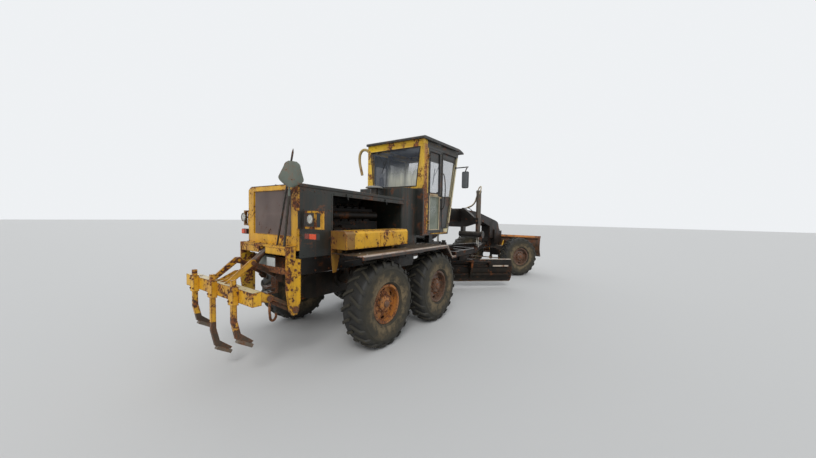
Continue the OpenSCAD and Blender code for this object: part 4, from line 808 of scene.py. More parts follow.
def tyre_shape():
    bm = bmesh.new()
    profile = [(r, -z) for r, z in HALF_PROFILE] + [(CROWN_R, 0)] + HALF_PROFILE[::-1]
    add_lathe(bm, profile + profile[:1], 96)
    for v in bm.verts:
        v.tag = True
    for side in (-1, 1):
        for i in range(LUGS):
            add_lug(bm, side, (i + (0.0 if side > 0 else 0.5)) * math.tau / LUGS)
    bmesh.ops.recalc_face_normals(bm, faces=bm.faces)
    sharp = [e for e in bm.edges if len(e.link_faces) == 2 and e.calc_face_angle() > 0.9 and
             all(math.hypot(v.co.x, v.co.y) > 575 for v in e.verts)]
    bmesh.ops.bevel(bm, geom=sharp, offset=5, offset_type="OFFSET", segments=2, profile=0.5, affect="EDGES",
                    material=-1, clamp_overlap=True)
    return bm


model_tyre = tyre_shape()
print("tyre faces", len(model_tyre.faces))

# %% [markdown]
# Each wheel gets its own copy of the tyre, turned to face outward, and the front pair is
# steered about its kingpins. Before it is placed, every point is told how pale it is, road dust
# on the sidewall and a painted highlight on the lug tops with painted shade in the grooves,
# which depends only on its distance to the axle and a slow wave round the tyre.

# %% Six dusty tyres with painted highlights on their lugs
STEER_REST = math.radians(36)
TRACK_Y = 1000
KINGPIN_Y = 800
REAR_X = -733.5
MIDDLE_X = 733.5
FRONT_X = 6480
# Columns: wheel, place along the machine, side, rim finish
WHEELS = [("rear_right", REAR_X, -1, "rim_orange"), ("rear_left", REAR_X, 1, "rim_orange"),
          ("middle_right", MIDDLE_X, -1, "rim_brown"), ("middle_left", MIDDLE_X, 1, "rim_brown"),
          ("front_right", FRONT_X, -1, "rim_brown"), ("front_left", FRONT_X, 1, "rim_brown")]


def wheel_place(x, side, turned):
    place = facing_side(x, side * TRACK_Y, TYRE_R, side)
    if not turned:
        return place
    pin = Matrix.Translation((x, side * KINGPIN_Y, 0))
    return pin @ Matrix.Rotation(-STEER_REST, 4, "Z") @ pin.inverted() @ place


def share_of(value, start, length):
    return min(1.0, max(0.0, (value - start) / length))


def lay_dust_and_highlight(bm, phase):
    """Writes how pale each point of a tyre looks, from its distance to the axle: dusty on the sidewall, a
    painted highlight on the lug tops, painted shade in the grooves.
    """
    layer = bm.verts.layers.float.new("dust_and_highlight")
    for v in bm.verts:
        reach = math.hypot(v.co.x, v.co.y)
        wall = share_of(-reach, -596, 60)
        # Lug tops get a high share as a painted highlight, and the grooves a low one as painted shade.
        tread_highlight = 0.06 if reach < 606 else 0.56
        sidewall = 0.9 - 0.42 * share_of(reach, 360, 170) if reach > 320 else 0.65
        patches = 0.92 + 0.08 * math.sin(3 * math.atan2(v.co.y, v.co.x) + phase)
        v[layer] = max(tread_highlight * (1 - wall), wall * sidewall) * patches


for name, x, side, rim_finish in WHEELS:
    bm = model_tyre.copy()
    lay_dust_and_highlight(bm, random.Random(name).uniform(0, math.tau))
    bmesh.ops.transform(bm, matrix=wheel_place(x, side, name.startswith("front")), verts=bm.verts)
    finish_piece(bm, "tyre_" + name + "_worn", "wheel_" + name, "tyre_rubber", replaces=["tyre_" + name],
                 smooth=50)
model_tyre.free()

# %% [markdown]
# The rims keep their CAD shape, with its oval hand holes. What the eye looks for on a truck
# wheel is the hardware: the ring of nuts on their studs, the hub flange with its small bolts,
# the cap, the lock ring at the outer flange and the valve.

# %% Rims and hubs
STUD_CIRCLE = 134
HUB_CIRCLE = 94
# Columns: foot, top, radius and number of sides, for a washer, a nut and a stud
NUT_LAYERS = [(78, 83, 21, 16), (82, 104, 16.5, 6), (103, 116, 10, 10)]
HUB_CAP = [(0, 156), (30, 156), (46, 150), (54, 138), (56, 126), (66, 125), (66, 120), (0, 120)]
for name, x, side, rim_finish in WHEELS:
    dressed("rim_" + name, rim_finish, 0.003)
    place = wheel_place(x, side, name.startswith("front"))
    bm = bmesh.new()
    for across, rise in ring(10, STUD_CIRCLE):
        for foot, top, radius, corners in NUT_LAYERS:
            add_rod(bm, (across, rise, foot), (across, rise, top), radius, corners)
    for across, rise in ring(8, HUB_CIRCLE, 0.5):
        add_rod(bm, (across, rise, 119), (across, rise, 130), 8, 6)
    add_lathe(bm, HUB_CAP, 40)
    add_rod(bm, (228, 60, 52), (236, 62, 96), 5, 10)
    bmesh.ops.transform(bm, matrix=place, verts=bm.verts)
    finish_piece(bm, "hub_" + name + "_bolts", "wheel_" + name, "nut_iron", bevel=0.0015)
    bm = bmesh.new()
    add_torus(bm, 279, 7, 128, 72)
    add_torus(bm, 255, 6, 120, 72)
    bmesh.ops.transform(bm, matrix=place, verts=bm.verts)
    finish_piece(bm, "lock_ring_" + name, "wheel_" + name, rim_finish)

# %% [markdown]
# Some parts wear two finishes: the cab's rear pillars are rusty, its front pillars have faded to
# cream, and a side box has lost its yellow at the rear end. Splitting the CAD part for that
# would be wrong, as it is one part. The dressed copy is cut along planes instead, and the faces
# inside a box of space get a second material slot.

# %% Second finishes on dressed parts
def repaint(node, finish, low, high, side=1):
    obj = pieces[node]
    bm = bmesh.new()
    bm.from_mesh(obj.data)
    low, high = (spot(*corner) for corner in mirrored(side, low, high))
    for axis in range(3):
        normal = Vector([float(i == axis) for i in range(3)])
        for value in (low[axis], high[axis]):
            geometry = bm.verts[:] + bm.edges[:] + bm.faces[:]
            bmesh.ops.bisect_plane(bm, geom=geometry, plane_co=normal * value, plane_no=normal)
    obj.data.materials.append(finishes[finish])
    index = len(obj.data.materials) - 1
    count = 0
    for face in bm.faces:
        middle = face.calc_center_median()
        if all(low[i] <= middle[i] <= high[i] for i in range(3)):
            face.material_index = index
            count += 1
    bm.to_mesh(obj.data)
    bm.free()
    print(node, "repainted faces", count)


WALL_IN, WALL_OUT = 690, 765
repaint("cab_frame", "rusty_yellow", (850, -760, 1500), (960, 760, 3300))
repaint("cab_frame", "dark_trim", (1470, -760, 1500), (1640, 760, 3300))
repaint("cab_frame", "pale_yellow", (1640, -760, 1500), (2400, 760, 3300))
for side in (-1, 1):
    repaint("cab_frame", "dark_trim", (960, WALL_IN, 3230), (2400, WALL_OUT, 3400), side)
    repaint("cab_frame", "olive_brown", (820, 728, 2300), (905, WALL_OUT, 3400), side)
    repaint("cab_glass", "dark_trim", (1400, WALL_IN, 1600), (2400, WALL_OUT, 2330), side)
repaint("cab_glass", "dim_glass", (1400, WALL_IN, 2330), (2400, WALL_OUT, 3400))
for name, side in SIDES:
    repaint("door_glass_" + name, "dark_trim", (1000, WALL_IN, 2990), (1500, WALL_OUT, 3400), side)
    repaint("cab_glass", "dark_trim", (1500, WALL_IN, 3095), (2400, WALL_OUT, 3400), side)
repaint("rear_bracket", "dark_brown", (-2100, -530, 600), (-1600, 530, 1440))
# The left plate's inner face lies in shade, and its cleaner, brighter cab yellow is painted light.
repaint("rear_bracket", "cab_yellow", (-2100, 528, 600), (-1600, 545, 1468))
repaint("ripper", "dark_brown", (-2700, -900, 100), (-2300, 900, 620))
# A thin pale band along the top of the ripper beam is a painted highlight.
repaint("ripper", "pale_yellow", (-2545, -900, 1083), (-2435, 900, 1087))
repaint("dozer_blade", "blade_orange", (7200, -1500, 1212), (7500, 1500, 1500))
# A pale band along the top of the blade's right end is a painted highlight.
repaint("moldboard", "pale_edge", (3700, -1500, 764), (4500, -700, 800))
repaint("radiator_frame", "black_paint", (-2000, -660, 1700), (-1700, -596, 1960))
repaint("radiator_frame", "brown_yellow", (-2000, 600, 1700), (-1700, 860, 1960))
repaint("side_boxes", "brown_yellow", (-1320, -900, 1080), (-1130, 900, 1700))
for side in (-1, 1):
    repaint("fenders", "fender_paint", (-1320, 1100, 1359), (1340, 1210, 1375), side)
repaint("door_glass_right", "hazy_glass", (900, -760, 1500), (1700, -600, 2330))
print("finishes on the cab frame", len(pieces["cab_frame"].data.materials))

# %% [markdown]
# The radiator's guard is a fence of narrow upright slats in front of a dark core. The CAD has a
# coarse version for its outline. Here each slat is a thin box turned about its own height, so
# it catches light like a louvre, and the core behind carries fine fins.

# %% Radiator slats and core
SLAT_COUNT = 44
FENCE_RIGHT, FENCE_LEFT = -450, 430
HALF_SLAT = 1.6
slat_turn = Matrix.Rotation(math.radians(32), 4, "Z")
bm = bmesh.new()
for i in range(SLAT_COUNT):
    y = FENCE_RIGHT + (i + 0.5) * (FENCE_LEFT - FENCE_RIGHT) / SLAT_COUNT
    add_box(bm, (-1829, y - HALF_SLAT, 1622), (-1808, y + HALF_SLAT, 2208), slat_turn)
for z in (1628, 1900, 2202):
    add_box(bm, (-1806, FENCE_RIGHT - 5, z - 9), (-1800, FENCE_LEFT + 5, z + 9))
finish_piece(bm, "radiator_slats", "chassis", "grille_metal",
             replaces=["radiator_grille"])
bm = bmesh.new()
add_box(bm, (-1758, -468, 1562), (-1672, 448, 2238))
for z in range(1575, 2235, 11):
    add_box(bm, (-1761, FENCE_RIGHT - 5, z), (-1757, FENCE_LEFT + 5, z + 4))
finish_piece(bm, "radiator_core", "chassis", "dark_iron")
bm = bmesh.new()
add_box(bm, (-1786, -574, 1504), (-1780, 574, 1556))
finish_piece(bm, "radiator_skirt", "chassis", "dark_iron")

# %% [markdown]
# Lamps are turned parts: an outline of radius and depth is spun into a bowl, a rim and a domed
# lens. The square lamps under them are a housing with a red and an orange lens. Each is built
# about Z and then laid down to look backwards.

# %% Rear lamps
LAMP_Z = 1844
LAMP_BOWL = [(0, -22), (34, -20), (55, -6), (63, 6), (64, 10), (59, 11), (57, 6), (31, -10), (0, -14)]
LAMP_LENS = [(0, 10), (24, 9), (44, 7), (58, 2), (58, 0), (0, 0)]
housing, glass, reds, oranges = (bmesh.new() for _ in range(4))
for y in (-839, 720):
    place = facing_back(-1840, y, LAMP_Z)
    add_lathe(housing, LAMP_BOWL, 40, place)
    add_lathe(glass, LAMP_LENS, 40, place)
    add_rod(housing, (-1819, y, LAMP_Z), (-1776, y, LAMP_Z), 12)
    add_bolts(housing, [(-1782, y + 44, 1930)], BACK, 7, 6)
# Columns: outer end, inner end, right and left end of the bracket
for outer, inner, bracket_right, bracket_left in ((-950, -728, -735, -581), (790, 650, 581, 655)):
    middle = outer + (inner - outer) * 0.58
    add_box(housing, (-1832, min(outer, inner), 1597), (-1785, max(outer, inner), 1673))
    add_box(reds, (-1840, min(outer, middle) + 6, 1604), (-1831, max(outer, middle) - 2, 1666))
    add_box(oranges, (-1840, min(inner, middle) + 2, 1604), (-1831, max(inner, middle) - 6, 1666))
    add_box(housing, (-1808, bracket_right, 1622), (-1792, bracket_left, 1648))
finish_piece(housing, "rear_lamp_housings", "chassis", "black_paint",
             replaces=["rear_lamps"], bevel=0.002)
finish_piece(glass, "rear_lamp_lenses", "chassis", "lamp_glass")
finish_piece(reds, "rear_lamp_reds", "chassis", "red_lens", bevel=0.002)
finish_piece(oranges, "rear_lamp_oranges", "chassis", "orange_lens", bevel=0.002)

# %% [markdown]
# A hood is sheet metal folded and bolted together. Its seams, its long hinge and its latches
# are what make it read as a hood, so each is added as a low strip, a row of bolts or a short
# rod, following the slope of the top sheet.

# %% Hood hardware
HOOD_WALL = 580
HOOD_BOTTOM = 1345
CLEANER_X = 230


def hood_top(x):
    return 2290 - 70 * (x + 1800) / 2200


bm = bmesh.new()
for x in (-1268, -720, -160, 396):
    add_box(bm, (x - 4, -545, hood_top(x) - 2), (x + 4, 545, hood_top(x) + 3))
for start in range(-1780, 60, 120):
    add_rod(bm, (start, 0, hood_top(start) + 3), (start + 112, 0, hood_top(start + 112) + 3), 8, 10)
for side in (-1, 1):
    add_rod(bm, (-1795, side * 570, hood_top(-1795) - 6), (395, side * 570, hood_top(395) - 6), 9, 12)
    wall_bolts(bm, side, HOOD_WALL, [(x, hood_top(x) - 82) for x in range(-1740, 380, 165)], 8, 6)
    rear_bolts = [(x, z) for x in (-1740, -1540, -1340) for z in (1380, 1560, 1760, 1960)]
    wall_bolts(bm, side, HOOD_WALL, rear_bolts, 7, 5)
    for x in (-1000, -120):
        top = hood_top(x)
        add_side_box(bm, side, (x - 22, HOOD_WALL, top - 104), (x + 22, HOOD_WALL + 16, top - 60))
        add_rod(bm, (x, side * 594, top - 100), (x, side * 606, top - 150), 6, 10)
    add_side_box(bm, side, (-1290, 565, HOOD_BOTTOM), (-1268, 583, 2190))
add_box(bm, (386, 581, HOOD_BOTTOM), (498, 585, hood_top(400) - 4))
wall_bolts(bm, 1, 585, [(440, z) for z in range(1400, 2200, 130)], 7, 5)
finish_piece(bm, "hood_hardware", "chassis", "dark_hood", bevel=0.001)
bm = bmesh.new()
for z in range(1760, 2120, 40):
    for x in (-1060, -560, -60):
        add_box(bm, (x - 170, 576, z), (x + 170, 590, z + 14), Matrix.Rotation(math.radians(20), 4, "X"))
finish_piece(bm, "hood_left_louvres", "chassis", "dark_hood", bevel=0.001)

# %% [markdown]
# The air cleaner's cap and the tank's filler are turned parts again. The tank is two pressings
# joined round a flange and held by straps, and these catch the light along its corners.

# %% Air cleaner, tank cap and straps
CLEANER_PLACE = Matrix.Translation((CLEANER_X, 0, hood_top(CLEANER_X - 85) + 0.3))
CLEANER_BODY = [(0, 0), (85, 0), (85, 12), (74, 16), (70, 60), (80, 66), (80, 92), (70, 98), (70, 184),
                (0, 184)]
CLEANER_CAP = [(0, 235), (60, 233), (112, 226), (150, 212), (160, 200), (160, 186), (154, 184), (120, 188),
               (70, 185), (0, 185)]
TANK_CAP = [(0, 44), (40, 44), (52, 38), (54, 4), (66, 2), (66, 0), (0, 0)]
STRAPS = (520, 740)
bm = bmesh.new()
add_lathe(bm, CLEANER_BODY, 40, CLEANER_PLACE)
finish_piece(bm, "air_cleaner_body", "chassis", "dark_hood", replaces=["air_cleaner"],
             bevel=0.001)
bm = bmesh.new()
add_lathe(bm, CLEANER_CAP, 56, CLEANER_PLACE)
finish_piece(bm, "air_cleaner_cap", "chassis", "cap_grey", bevel=0.001)
bm = bmesh.new()
add_lathe(bm, TANK_CAP, 40, Matrix.Translation((620, 250, 2431)))
add_box(bm, (596, 244, 2474), (644, 256, 2492))
for x in STRAPS:
    add_box(bm, (x - 18, -560, 2429), (x + 18, 560, 2433))
for side in (-1, 1):
    for x in STRAPS:
        add_side_box(bm, side, (x - 18, 579, 1340), (x + 18, 583, 2428))
    wall_bolts(bm, side, 583, [(x, z) for z in range(1420, 2400, 140) for x in STRAPS], 7, 5)
finish_piece(bm, "tank_fittings", "chassis", "dark_hood", bevel=0.001)

# %% [markdown]
# Each side box has a lid with a hinge, two latches and a folded rim, and the fenders have a
# rolled edge and bolted stays. A rolled edge is a rod laid along the sheet's border.

# %% Side boxes and fenders
FENDER_TOP = 1372
FENDER_EDGE = [(-1298, FENDER_TOP), (962, FENDER_TOP), (1162, 1141), (1328, 1141)]
BOX_WALL = 880
boxes, fender_bits, stays = bmesh.new(), bmesh.new(), bmesh.new()
for side in (-1, 1):
    for start in range(-1260, 60, 110):
        add_rod(boxes, (start, side * 848, 1681), (start + 102, side * 848, 1681), 7, 10)
    for x in (-900, -300):
        add_side_box(boxes, side, (x - 20, 878, 1590), (x + 20, 889, 1640))
        add_rod(boxes, (x, side * 890, 1612), (x, side * 896, 1560), 6, 10)
    for x in (-1284, -590, 104):
        add_side_box(boxes, side, (x - 7, 877, 1432), (x + 7, 884, 1640))
    wall_bolts(boxes, side, BOX_WALL, [(x, 1450) for x in range(-1250, 100, 150)], 7, 5)
    for (x0, z0), (x1, z1) in zip(FENDER_EDGE, FENDER_EDGE[1:]):
        add_rod(fender_bits, (x0, side * 1194, z0 - 2), (x1, side * 1194, z1 - 2), 9, 12)
    for x in (-1095, -35, 863):
        across = (660, 800, 940, 1080, 1170)
        add_bolts(fender_bits, [(x, side * y, FENDER_TOP) for y in across], UP, 8, 5)
        add_rod(stays, (x, side * 640, 1240), (x, side * 1150, 1352), 11, 10)
finish_piece(boxes, "side_box_fittings", "chassis", "yellow_paint", bevel=0.001)
finish_piece(fender_bits, "fender_fittings", "chassis", "pale_edge")
finish_piece(stays, "fender_stays", "chassis", "fender_under")

# %% [markdown]
# The cab is all frames and panes. A pane could sit bare in its hole, but a real one is held by
# a rubber seal, and that dark line is what the eye sees. A seal here is a loop of rods with a
# ball at each corner, laid round every window on its outer face.

# %% Window seals
ROOF_Z = 3385
WINDOW_TOP = 3240
REAR_WALL = 829
SIDE_WALL = 720
SEAL_Y = 721
DOOR_REAR, DOOR_FRONT = 1060, 1440


def front_x(z):
    """Where the sloping front pane stands at a height."""
    return 1850 + (z - 1530) * 440 / (ROOF_Z - 1530)


def upright_loop(bm, y, rear, front, bottom, top, radius):
    add_loop(bm, [(rear, y, bottom), (front, y, bottom), (front, y, top), (rear, y, top)], radius)


bm = bmesh.new()
rear_top = WINDOW_TOP + 2
add_loop(bm, [(REAR_WALL, -552, 2488), (REAR_WALL, 552, 2488), (REAR_WALL, 632, rear_top),
              (REAR_WALL, -632, rear_top)], 9)
for low, high in ((1800, 2300), (2350, WINDOW_TOP)):
    x_low, x_high = front_x(low) + 1, front_x(high) + 1
    add_loop(bm, [(x_low, -642, low), (x_low, 642, low), (x_high, 642, high), (x_high, -642, high)], 9)
for side in (-1, 1):
    y = side * SEAL_Y
    add_loop(bm, [(1560, y, 1662), (front_x(1662) - 71, y, 1662),
                  (front_x(WINDOW_TOP) - 71, y, WINDOW_TOP - 2), (1560, y, WINDOW_TOP - 2)], 8)
finish_piece(bm, "cab_seals", "chassis", "black_rubber")
for name, side in SIDES:
    door = "door_" + name
    bm = bmesh.new()
    upright_loop(bm, side * SEAL_Y, DOOR_REAR, DOOR_FRONT, 2372, 3182, 8)
    finish_piece(bm, door + "_upper_seal", door, "black_rubber")
    bm = bmesh.new()
    upright_loop(bm, side * SEAL_Y, DOOR_REAR, DOOR_FRONT, 1636, 2308, 9)
    finish_piece(bm, door + "_lower_seal", door, "pale_cloth")
    bm = bmesh.new()
    add_side_box(bm, side, (1068, 719, 2322), (1372, 729, 2358))
    wall_bolts(bm, side, SIDE_WALL, [(x, z) for x in (1030, 1475) for z in range(1640, 3200, 190)], 6, 4)
    add_rod(bm, (1456, side * 724, 2290), (1456, side * 756, 2290), 16)
    add_rod(bm, (1456, side * 750, 2290), (1456, side * 758, 2290), 9, 12)
    finish_piece(bm, door + "_fittings", door, "waist_beige", bevel=0.0015)

# %% [markdown]
# The roof is one thin pressing with ribs, a drip rail and a visor that droops forward. Round it
# go the rivets, the rain gutter, the wipers and the grab handles. The tube at the left rear
# corner bends twice, so it is a curve and not a chain of rods.

# %% Roof and cab fittings
bm = bmesh.new()
for y in range(-600, 601, 200):
    add_rod(bm, (900, y, ROOF_Z + 57), (front_x(ROOF_Z) - 70, y, ROOF_Z + 57), 14, 14)
for side in (-1, 1):
    add_rod(bm, (800, side * 728, ROOF_Z + 6), (front_x(ROOF_Z) + 10, side * 728, ROOF_Z + 6), 9, 10)
    wall_bolts(bm, side, 740, [(x, ROOF_Z + 28) for x in range(850, 2250, 100)], 5, 3)
add_bolts(bm, [(781, y, ROOF_Z + 20) for y in range(-660, 661, 110)], BACK, 5, 3)
finish_piece(bm, "roof_fittings", "chassis", "black_paint", bevel=0.001)
bm = bmesh.new()
for side in (-1, 1):
    add_bolts(bm, [(REAR_WALL, side * 690, z) for z in range(2560, 3360, 130)], BACK, 5, 3)
    wall_bolts(bm, side, SIDE_WALL, [(x, 3330) for x in range(880, 1480, 110)], 5, 3)
    add_side_box(bm, side, (1120, 719, 1548), (1770, 729, 1568))
add_bolts(bm, [(REAR_WALL, y, 3320) for y in range(-600, 601, 120)], BACK, 5, 3)
finish_piece(bm, "cab_rivets", "chassis", "cab_yellow")
bm = bmesh.new()
for y in (-300, 300):
    tip_y = y + 160
    add_rod(bm, (front_x(3230) + 4, y, 3230), (front_x(3230) + 30, y, 3230), 16, 14)
    add_rod(bm, (front_x(3230) + 26, y, 3230), (front_x(2850) + 22, tip_y, 2850), 6, 8)
    add_box(bm, (front_x(2850) + 6, tip_y - 5, 2640), (front_x(2850) + 18, tip_y + 5, 3040),
            Matrix.Rotation(math.radians(13), 4, "Y"))
add_rod(bm, (REAR_WALL, 420, 3228), (806, 420, 3228), 15, 14)
add_rod(bm, (810, 420, 3226), (812, 250, 2930), 6, 8)
add_box(bm, (812, 244, 2760), (820, 256, 3090), Matrix.Rotation(math.radians(24), 4, "X"))
finish_piece(bm, "wipers", "chassis", "black_plastic", bevel=0.001)
routes = []
for side in (-1, 1):
    foot, grip = side * SIDE_WALL, side * 768
    routes.append([(1530, foot, 2060), (1530, grip, 2080), (1530, grip, 2780), (1530, foot, 2800)])
add_pipe("cab_grab_handles", routes, 11, "chassis", "black_paint")
tube = [(722, 3246), (800, 3316), (880, 3350), (965, 3344), (1028, 3282), (1050, 3190), (1044, 3080),
        (1006, 2940), (966, 2800)]
add_pipe("cab_tube_bent", [[(910, y, z) for y, z in tube]], 31, "chassis", "tube_tan",
         replaces=["cab_tube"])

# %% [markdown]
# The seat is sewn and stuffed, so it should sag and wrinkle. Each cushion is a closed, finely
# divided box whose faces are pushed outward more in the middle than at the seams, with a
# quilted dip along its stitching. The pedestal is plain steel.

# %% Seat
SEAM_DIP = 0.35
WRINKLE = 0.05


def add_cushion(name, low, high, puff, turn):
    bm = bmesh.new()
    low, high = Vector(low), Vector(high)
    half = (high - low) / 2
    bmesh.ops.create_cube(bm, size=2.0)
    bmesh.ops.subdivide_edges(bm, edges=bm.edges[:], cuts=15, use_grid_fill=True)
    for v in bm.verts:
        u = v.co.copy()
        seam = 1 - SEAM_DIP * math.exp(-((abs(u.y) - 0.5) / 0.06) ** 2)
        wrinkle = 1 + WRINKLE * math.sin(17 * u.x + 9 * u.y) * math.sin(13 * u.y - 5 * u.z)
        round_off = 1 - 0.06 * sum(abs(c) ** 6 for c in u)
        for i in range(3):
            v.co[i] = u[i] * (half[i] * round_off - puff)
            if abs(u[i]) > 0.99:
                swell = (1 - u[(i + 1) % 3] ** 2) * (1 - u[(i + 2) % 3] ** 2)
                v.co[i] += math.copysign(puff * swell * seam * wrinkle, u[i])
    bmesh.ops.transform(bm, matrix=Matrix.Translation((low + high) / 2) @ turn, verts=bm.verts)
    obj = finish_piece(bm, name, "chassis", "cushion", smooth=60)


add_cushion("seat_cushion", (970, -240, 1905), (1420, 240, 2005), 22, Matrix.Identity(4))
add_cushion("seat_back", (925, -225, 2014), (1005, 225, 2455), 20, Matrix.Rotation(math.radians(-6), 4, "Y"))
bm = bmesh.new()
add_rod(bm, (1160, 0, 1572), (1160, 0, 1850), 60, 24)
add_box(bm, (1010, -160, 1571), (1310, 160, 1590))
add_box(bm, (980, -225, 1850), (1400, 225, 1880))
add_box(bm, (985, -232, 1880), (1400, 232, 1904))
for z in range(1620, 1840, 24):
    add_torus(bm, 74, 8, z, 32, 8)
finish_piece(bm, "seat_pedestal", "chassis", "black_paint", replaces=["seat"],
             bevel=0.002)

# %% [markdown]
# The console carries the wheel and two rows of control levers. A steering wheel is a torus with
# three spokes on a leaning column. The levers are thin rods with round knobs.

# %% Steering console
CAB_FLOOR = 1571
HAND_WHEEL_R = 205
bm = bmesh.new()
lean = Matrix.Translation((1650, 0, 2100)) @ Matrix.Rotation(math.radians(-25), 4, "Y")
for v in add_box(bm, (1640, -105, CAB_FLOOR), (1765, 105, 2110)):
    if v.co.z > 2000 and v.co.x > 1700:
        v.co.x -= 20
add_lathe(bm, [(0, 0), (28, 0), (24, 60), (22, 158), (0, 158)], 24, lean)
add_torus(bm, HAND_WHEEL_R, 13, 162, 56, 12, lean)
add_lathe(bm, [(0, 150), (40, 150), (44, 164), (34, 178), (0, 180)], 32, lean)
for (x0, y0), (x1, y1) in zip(ring(3, 34), ring(3, HAND_WHEEL_R - 7)):
    add_rod(bm, lean @ Vector((x0, y0, 164)), lean @ Vector((x1, y1, 162)), 8, 10)
for side in (-1, 1):
    for i in range(4):
        x, y = 1660 + i * 28, side * (150 + i * 40)
        add_rod(bm, (x, y, CAB_FLOOR), (x - 4, y, 2118), 7, 10)
        add_ball(bm, (x - 4, y, 2124), 19)
    add_side_box(bm, side, (1612, 132, CAB_FLOOR), (1778, 298, 1628))
finish_piece(bm, "console_parts", "chassis", "black_plastic",
             replaces=["steering_console"], bevel=0.002)
bm = bmesh.new()
for y in (-66, 0, 66):
    add_lathe(bm, [(0, 2), (24, 2), (27, 5), (27, 0), (0, 0)], 28, facing_back(1641, y, 2060))
finish_piece(bm, "console_dials", "chassis", "blank_plate")

# %% [markdown]
# A mirror's arm is a bent tube, so a curve with a round section suits it. Its head is a shallow
# shell with rounded corners and a bright face that looks backward.

# %% Mirrors
heads, mirror_faces = bmesh.new(), bmesh.new()
routes = []
root_x, root_z = front_x(3000) - 40, 3000
for side in (-1, 1):
    bends = [(root_x, 728, root_z), (root_x - 60, 930, 2990), (root_x - 160, 1090, 2975), (1870, 1132, 2940),
             (1800, 1132, 2860), (1786, 1131, 2700), (1786, 1131, 2500)]
    routes.append([(x, side * y, z) for x, y, z in bends])
    shell = add_side_box(heads, side, (1772, 1062, 2502), (1799, 1208, 2848))
    round_edges(heads, shell, 30, 5, along_x=True)
    face = add_side_box(mirror_faces, side, (1770, 1070, 2512), (1773, 1200, 2838))
    round_edges(mirror_faces, face, 24, 5, along_x=True)
    foot = facing_side(root_x, side * 720.4, root_z, side)
    add_lathe(heads, [(0, 0), (24, 0), (24, 8), (12, 14), (0, 14)], 24, foot)
finish_piece(heads, "mirror_heads", "chassis", "black_plastic", replaces=["mirrors"],
             bevel=0.001)
finish_piece(mirror_faces, "mirror_faces", "chassis", "mirror_face")
add_pipe("mirror_arms", routes, 12, "chassis", "black_paint")

# %% [markdown]
# The rear plates carry the ripper. Between them run a bar with two blank plates and a folded
# apron under the deck, and a hook hangs below. All are folded sheet or bar, so boxes do.

# %% Rear bracket and plates
BAR_X = -1968
BAR_TOP = 1166
PLATE_FOOT = (-1961, 0, 1167)
BRACKET_BOLTS = [(-1900, 1450), (-1900, 1380), (-1800, 1280), (-1800, 1160), (-1900, 1100), (-1900, 960),
                 (-1850, 1200)]
bm = bmesh.new()
for side in (-1, 1):
    wall_bolts(bm, side, 565, BRACKET_BOLTS, 15, 11)
    add_rod(bm, (-1850, side * 565, 700), (-1850, side * 583, 700), 44, 24)
    add_rod(bm, (-1850, side * 582, 700), (-1850, side * 592, 700), 24, 6)
add_bolts(bm, [(-1900, y, 1500) for y in range(-480, 481, 160)], UP, 12, 8)
add_box(bm, (-1958, -280, 1160), (-1950, 240, BAR_TOP))
finish_piece(bm, "rear_bracket_bolts", "chassis", "nut_iron", bevel=0.0015)
bm = bmesh.new()
add_box(bm, (BAR_X, -540, 1150), (-1950, 540, BAR_TOP))
add_box(bm, (BAR_X, -540, BAR_TOP), (-1962, 540, 1232))
finish_piece(bm, "plate_bar", "chassis", "rust_iron", bevel=0.002)
bm = bmesh.new()
add_box(bm, (-1974, -315, 1230), (-1969, -125, 1340))
finish_piece(bm, "blank_plate_white", "chassis", "blank_plate", bevel=0.002)
bm = bmesh.new()
add_box(bm, (-1961, -123, 1167), (-1956, 155, 1371))
bmesh.ops.rotate(bm, cent=PLATE_FOOT, matrix=Matrix.Rotation(math.radians(33), 3, "Y"), verts=bm.verts)
finish_piece(bm, "blank_plate_grey", "chassis", "grey_green", bevel=0.002)
bm = bmesh.new()
for side in (-1, 1):
    add_side_box(bm, side, (-1964, 74, 1384), (-1958, 534, 1471))
finish_piece(bm, "deck_apron", "chassis", "yellow_paint", bevel=0.002)
hook = [(-1905, 830), (-1915, 700), (-1912, 560), (-1880, 470), (-1835, 490), (-1822, 560)]
add_pipe("hitch_hook", [[(x, -95, z) for x, z in hook]], 17, "chassis", "rust_iron")

# %% [markdown]
# A shovel and a long crowbar stand at the rear bracket. The shovel's blade is a dished sheet:
# a grid is drawn to the blade's outline with its middle pressed back, and extruding it gives
# the sheet its thickness.

# %% Hand tools
WIDEST = 0.34
POINT_FROM = 0.78
SHEET = 4
SHOVEL_FOOT = (-1950, -600, 2190)


def half_width(rise):
    """Half the shovel's width, this share of the way from its socket to its point."""
    if rise > POINT_FROM:
        return 98 * math.sqrt(1 - ((rise - POINT_FROM) / 0.25) ** 2)
    if rise > WIDEST:
        return 150 - 52 * (rise - WIDEST) / 0.44
    return 34 + 116 * math.sin(math.pi / 2 * rise / WIDEST)


bm = bmesh.new()
bmesh.ops.create_grid(bm, x_segments=12, y_segments=14, size=1.0)
for v in bm.verts:
    across, rise = v.co.x, (v.co.y + 1) / 2
    dish = 26 * (1 - 0.5 * rise) * (1 - across ** 2)
    v.co = (-1950 - dish, -600 + across * half_width(rise), 2225 + 310 * rise)
made = bmesh.ops.extrude_face_region(bm, geom=bm.faces[:])["geom"]
second_skin = [v for v in made if isinstance(v, bmesh.types.BMVert)]
bmesh.ops.translate(bm, vec=(-SHEET, 0, 0), verts=second_skin)
for degrees, axis in ((42, "Z"), (9, "X")):
    turn = Matrix.Rotation(math.radians(degrees), 3, axis)
    bmesh.ops.rotate(bm, cent=SHOVEL_FOOT, matrix=turn, verts=bm.verts)
add_rod(bm, (-1952, -586, 2120), (-1972, -612, 2290), 15, 14, tip=7)
finish_piece(bm, "shovel_blade", "chassis", "grey_green", replaces=["hand_tools"],
             smooth=50)
bm = bmesh.new()
add_rod(bm, (-1950, -482, 1504), (-1950, -590, 2180), 16)
